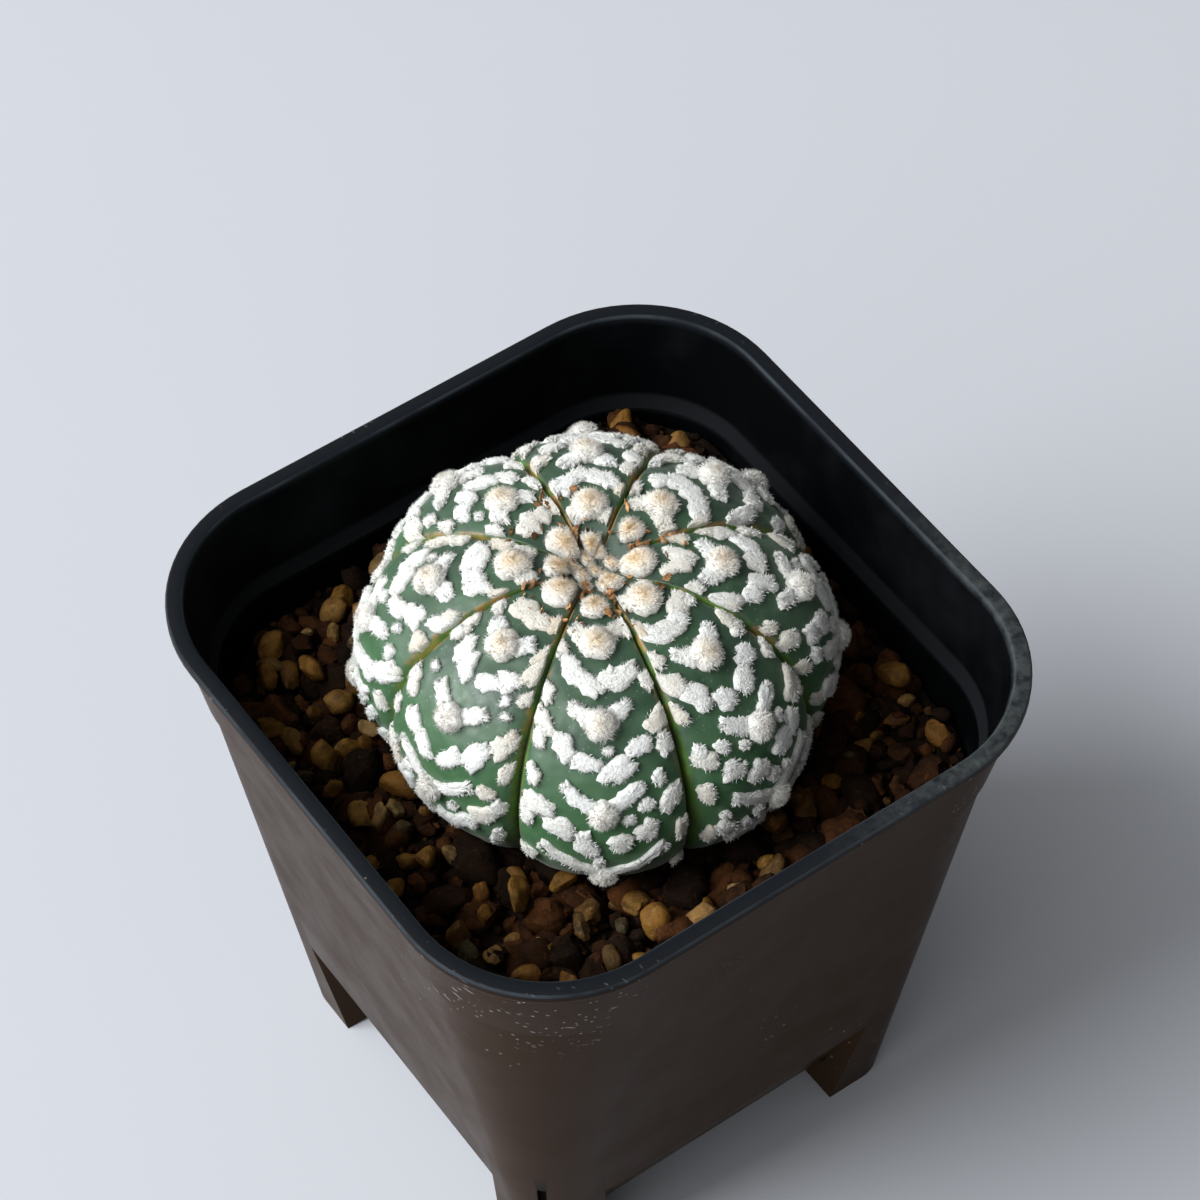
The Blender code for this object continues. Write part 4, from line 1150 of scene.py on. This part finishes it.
def turns(count, draw):
    """Random rotation matrices, from random unit quaternions."""
    w, x, y, z = draw.normal(size=(4, count))
    size = np.sqrt(w * w + x * x + y * y + z * z)
    w, x, y, z = w / size, x / size, y / size, z / size
    return np.stack([
        np.stack([1 - 2 * (y * y + z * z), 2 * (x * y - z * w), 2 * (x * z + y * w)], -1),
        np.stack([2 * (x * y + z * w), 1 - 2 * (x * x + z * z), 2 * (y * z - x * w)], -1),
        np.stack([2 * (x * z - y * w), 2 * (y * z + x * w), 1 - 2 * (x * x + y * y)], -1),
    ], -2)


def stones(centres, radii, draw, subdivisions, planes, cut, rough, lumps):
    """Rough stones: unit balls trimmed by random planes, roughened, stretched and turned.

    A point p of the ball moves to p x min(1, offset / (p . normal)) for every plane, and then
    outwards or inwards by slow lumps and quick roughness.
    """
    base, faces = ball(subdivisions)
    count = len(centres)
    normals = draw.normal(size=(count, planes, 3))
    normals /= np.linalg.norm(normals, axis=2, keepdims=True)
    offsets = draw.uniform(cut[0], cut[1], (count, 1, planes))
    facing = np.einsum("vk,npk->nvp", base, normals)
    trim = np.where(facing > 1e-3, offsets / np.maximum(facing, 1e-3), 1e3).min(2).clip(0, 1)
    uneven = 1 + rough * draw.uniform(-1, 1, trim.shape)
    uneven += lumps * ripple(base[None] + draw.uniform(-50, 50, (count, 1, 3)), 1.5, 51)
    shape = base[None] * (trim * uneven)[..., None] * radii[:, None, :]
    points = np.einsum("nij,nvj->nvi", turns(count, draw), shape) + centres[:, None, :]
    return points.reshape(-1, 3), repeated(faces, count, len(base)), len(base)


def build_scraps():
    """Dry scraps caught between the young pads round the crown, most of them in the furrows."""
    draw = np.random.default_rng(LOOK_SEED + 1)
    along = draw.uniform(*SCRAP_PLACES, SCRAPS)
    in_furrow = draw.uniform(0, 1, SCRAPS) < SCRAPS_IN_FURROWS
    furrow = FIRST_RIB + RIB_TURN * (draw.integers(0, RIBS, SCRAPS) + 0.5)
    furrow = furrow + draw.normal(0, 0.13, SCRAPS)
    direction = np.where(in_furrow, furrow, draw.uniform(0, 2 * math.pi, SCRAPS))
    centres = skin(direction, along, draw.uniform(0.10, 0.55, SCRAPS) * MM)
    size = draw.uniform(*SCRAP_SIZES, SCRAPS)
    width = size * draw.uniform(0.4, 0.8, SCRAPS)
    thickness = size * draw.uniform(0.15, 0.3, SCRAPS)
    radii = np.stack([size, width, thickness], -1)
    points, faces, each = stones(centres, radii, draw, **SCRAP_SHAPE)
    made = piece("dry_scraps", points, [faces], scrap_look(), smooth=False)
    paint(made, "tone", np.repeat(draw.uniform(0, 1, SCRAPS), each))


# --- Soil ---------------------------------------------------------------------------------
def bed_height(x, y):
    """Height of the fine soil: its level, a mound away from the low side, and unevenness."""
    spots = np.stack([x, y], -1)
    away = x * math.cos(MOUND_TURN) + y * math.sin(MOUND_TURN)
    mound = MOUND_HEIGHT * (away / RIM_HALF).clip(0, 1) ** 1.3
    height = BED_LEVEL + mound
    for size, length, seed in BED_WAVES:
        height = height + size * ripple(spots, length, seed)
    return height


def build_bed():
    """Soil as one closed surface: up the plant's hole, out over the top, down the pot's wall."""
    angle = np.linspace(0, 2 * math.pi, BED_COLUMNS, endpoint=False)
    hole_rows = np.concatenate([[OUTLINE[2][-1]], np.linspace(OUTLINE[2][-1] - 6 * MM, SOIL_ALONG, 9)])
    hole = [skin(angle, np.full_like(angle, along), GAP) for along in hole_rows]
    top_inner = hole[-1].copy()
    inset = WALL + GAP
    outer = around(inner_ring(BED_LEVEL, inset + COLLAR_STEP / 4), angle)
    rings = list(hole)
    for share in np.linspace(0, 1, BED_RINGS + 1)[1:]:
        ring = top_inner + (outer - top_inner) * share
        ring[:, 2] = bed_height(ring[:, 0], ring[:, 1])
        rings.append(ring)
    for height in (STEP_TOP, FLOOR_TOP + GAP):
        rings.append(around(inner_ring(height, inset), angle))
    points, faces = closed_stack(rings)
    look = earth_look("fine_dark_soil", BED_TONES, 700.0, 0.95)
    bed = piece("soil_bed", points, [group[:, ::-1] for group in faces], look)
    paint(bed, "tone", (ripple(points, 5 * MM, 33) * 0.5 + 0.5).clip(0, 1))
    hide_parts("soil")


def around(ring, angle):
    """A closed ring of points sampled at equal steps of direction round the middle."""
    way = np.unwrap(np.arctan2(ring[:, 1], ring[:, 0]))
    order = np.argsort(way)
    way, ring = way[order], ring[order]
    keys = np.concatenate([way - 2 * math.pi, way, way + 2 * math.pi])
    return np.stack([np.interp(angle, keys, np.tile(ring[:, axis], 3)) for axis in range(3)], -1)


def free_places(pitch, jitter, clear, draw):
    """Places on a jittered grid between the plant and the pot's wall, kept clear of both."""
    steps = int(RIM_HALF / pitch) + 2
    column, row = np.meshgrid(np.arange(-steps, steps + 1), np.arange(-steps, steps + 1))
    x = (column + 0.5 * (row % 2)) * pitch + draw.uniform(-jitter, jitter, column.shape)
    y = row * pitch * 0.87 + draw.uniform(-jitter, jitter, column.shape)
    x, y = x.ravel(), y.ravel()
    direction = np.arctan2(y - PLANT_Y, x - PLANT_X)
    plant = skin(direction, np.full_like(direction, SOIL_ALONG))
    plant_reach = np.hypot(plant[:, 0] - PLANT_X, plant[:, 1] - PLANT_Y)
    outside = np.hypot(x - PLANT_X, y - PLANT_Y) > plant_reach + clear * 0.15
    half, corner = wall_level(SOIL_LEVEL)
    half, corner = half - WALL - GAP, corner - WALL
    beyond = np.stack([np.abs(x), np.abs(y)], -1) - (half - corner)
    inside = np.linalg.norm(beyond.clip(0), axis=1) - corner + beyond.max(1).clip(None, 0) < -clear
    keep = outside & inside
    return x[keep], y[keep]


def build_grains(name, look, grains):
    """One kind of grain scattered over the bed, from a dictionary of its measures.

    pitch is the distance between places; share, what taken_share makes of them; sink, how high
    a grain's middle lies over the bed, as a share of its radius; splits, how often a ball's
    faces are split; planes and cut, how many planes trim it and how far out they lie.
    """
    draw = np.random.default_rng(grains["seed"])
    pitch = grains["pitch"]
    x, y = free_places(pitch, GRAIN_JITTER * pitch, GRAIN_CLEAR * grains["radius"][1], draw)
    keep = draw.uniform(0, 1, len(x)) < taken_share(x, y, *grains["share"])
    x, y = x[keep], y[keep]
    count = len(x)
    radius = part_way(grains["radius"], draw.uniform(0, 1, count) ** 1.3)
    flat = draw.uniform(*grains["flatness"], (2, count))
    radii = radius[:, None] * np.stack([np.ones(count), *flat], -1)
    z = bed_height(x, y) + radius * draw.uniform(*grains["sink"], count)
    points, faces, each = stones(np.stack([x, y, z], -1), radii, draw, grains["splits"],
                                 grains["planes"], grains["cut"], grains["rough"], grains["lumps"])
    made = piece(name, points, [faces], look)
    made.data.set_sharp_from_angle(angle=GRAIN_SHARP)
    paint(made, "tone", np.repeat(draw.uniform(0, 1, count), each))


def taken_share(x, y, middle, along_x, along_y, least, most):
    """Share of the places at x, y that hold a grain: it grows evenly over the bed."""
    return (middle + (along_x * x + along_y * y) / RIM_HALF).clip(least, most)


EVERYWHERE = (1.0, 0.0, 0.0, 1.0, 1.0)
MOSTLY_BACK_RIGHT = (0.35, 0.45, 0.10, 0.0, 0.9)
MOSTLY_LEFT = (0.58, -0.26, 0.16, 0.30, 0.95)
GRAINS = {
    "broad_clods": dict(seed=45, pitch=7.0 * MM, radius=(2.9 * MM, 4.2 * MM), flatness=(0.6, 0.9),
                        sink=(0.1, 0.4), share=MOSTLY_BACK_RIGHT, splits=4, planes=8, cut=(0.66, 0.98),
                        rough=0.035, lumps=0.20),
    "large_clods": dict(seed=41, pitch=4.5 * MM, radius=(1.7 * MM, 3.4 * MM), flatness=(0.65, 1.0),
                        sink=(0.1, 0.45), share=EVERYWHERE, splits=3, planes=7, cut=(0.70, 0.98),
                        rough=0.075, lumps=0.20),
    "small_clods": dict(seed=44, pitch=2.4 * MM, radius=(0.8 * MM, 1.6 * MM), flatness=(0.65, 1.0),
                        sink=(0.3, 1.2), share=EVERYWHERE, splits=2, planes=5, cut=(0.66, 0.98),
                        rough=0.12, lumps=0.15),
    "pebbles": dict(seed=42, pitch=3.2 * MM, radius=(1.2 * MM, 2.4 * MM), flatness=(0.5, 0.8),
                    sink=(0.8, 1.7), share=MOSTLY_LEFT, splits=3, planes=9, cut=(0.60, 0.90),
                    rough=0.006, lumps=0.05),
    "crumbs": dict(seed=43, pitch=1.6 * MM, radius=(0.25 * MM, 0.70 * MM), flatness=(0.7, 1.0),
                   sink=(0.2, 2.0), share=EVERYWHERE, splits=1, planes=3, cut=(0.8, 0.98),
                   rough=0.15, lumps=0.0),
}


def build_soil():
    """The bed with its clods, pebbles and crumbs."""
    build_bed()
    clod = earth_look("red_brown_clods", CLOD_TONES, 900.0, 0.95)
    looks = {"pebbles": earth_look("tan_and_ochre_pebbles", PEBBLE_TONES, 600.0, 0.65),
             "crumbs": earth_look("dark_crumbs", CRUMB_TONES, 1500.0, 0.95)}
    for name, grains in GRAINS.items():
        build_grains(name, looks.get(name, clod), grains)


# --- Surroundings -------------------------------------------------------------------------
def aim(target, at, to):
    """Turn a lamp or the camera from its place towards a point."""
    target.location = at
    target.rotation_mode = "QUATERNION"
    target.rotation_quaternion = (Vector(to) - Vector(at)).to_track_quat("-Z", "Y")


def build_camera():
    """The camera, at a distance from its aim along a direction given by turn and rise."""
    data = bpy.data.cameras.new("camera")
    data.lens = CAMERA_LENS
    data.sensor_width = 36.0
    data.clip_start = 0.01
    made = placed("camera", data)
    flat = math.cos(CAMERA_RISE) * CAMERA_DISTANCE
    at = (CAMERA_AIM[0] + flat * math.sin(CAMERA_TURN), CAMERA_AIM[1] - flat * math.cos(CAMERA_TURN),
          CAMERA_AIM[2] + CAMERA_DISTANCE * math.sin(CAMERA_RISE))
    aim(made, at, CAMERA_AIM)
    bpy.context.scene.camera = made


def build_window():
    """The one square soft lamp, which stands for a window."""
    data = bpy.data.lights.new("window", "AREA")
    data.shape = "SQUARE"
    data.size = WINDOW_SIZE
    data.energy = WINDOW_POWER
    data.color = WINDOW_COLOUR
    middle = (0.0, 0.0, 0.6 * POT_HEIGHT)
    flat = math.cos(WINDOW_RISE) * WINDOW_DISTANCE
    at = (flat * math.cos(WINDOW_TURN), flat * math.sin(WINDOW_TURN),
          middle[2] + WINDOW_DISTANCE * math.sin(WINDOW_RISE))
    aim(placed("window", data), at, middle)


def build_surroundings():
    """A pale floor in a room that is bright on its window side, and one large soft lamp."""
    corners = [(x * FLOOR_HALF, y * FLOOR_HALF, 0.0) for x, y in ((-1, -1), (1, -1), (1, 1), (-1, 1))]
    floor = placed("floor", mesh_of("floor", corners, [[(0, 1, 2, 3)]]))
    look, tree, shader = new_look("pale_floor", Roughness=0.7)
    clouds = noise(tree, place(tree), 8.0, 2.0)
    feed(tree, shader, Base_Color=blend(tree, clouds, *FLOOR_GREYS))
    floor.data.materials.append(look)
    world = bpy.data.worlds.new("pale_room")
    world.use_nodes = True
    tree = world.node_tree
    background = tree.nodes["Background"]
    background.inputs["Color"].default_value = (*WINDOW_COLOUR, 1.0)
    way = add(tree, "ShaderNodeTexCoord").outputs["Generated"]
    window = (math.cos(WINDOW_TURN), math.sin(WINDOW_TURN), 0.0)
    facing = add(tree, "ShaderNodeVectorMath", {"operation": "DOT_PRODUCT"}, {0: way, 1: window})
    bright = between(tree, facing.outputs["Value"], -0.1, 0.9, *ROOM_LIGHT)
    feed(tree, background, Strength=bright)
    bpy.context.scene.world = world
    build_window()
    bpy.context.scene.view_settings.view_transform = "Standard"


build_camera()
build_surroundings()
build_pot()
build_skin(skin_look())
build_wool()
build_scraps()
build_soil()
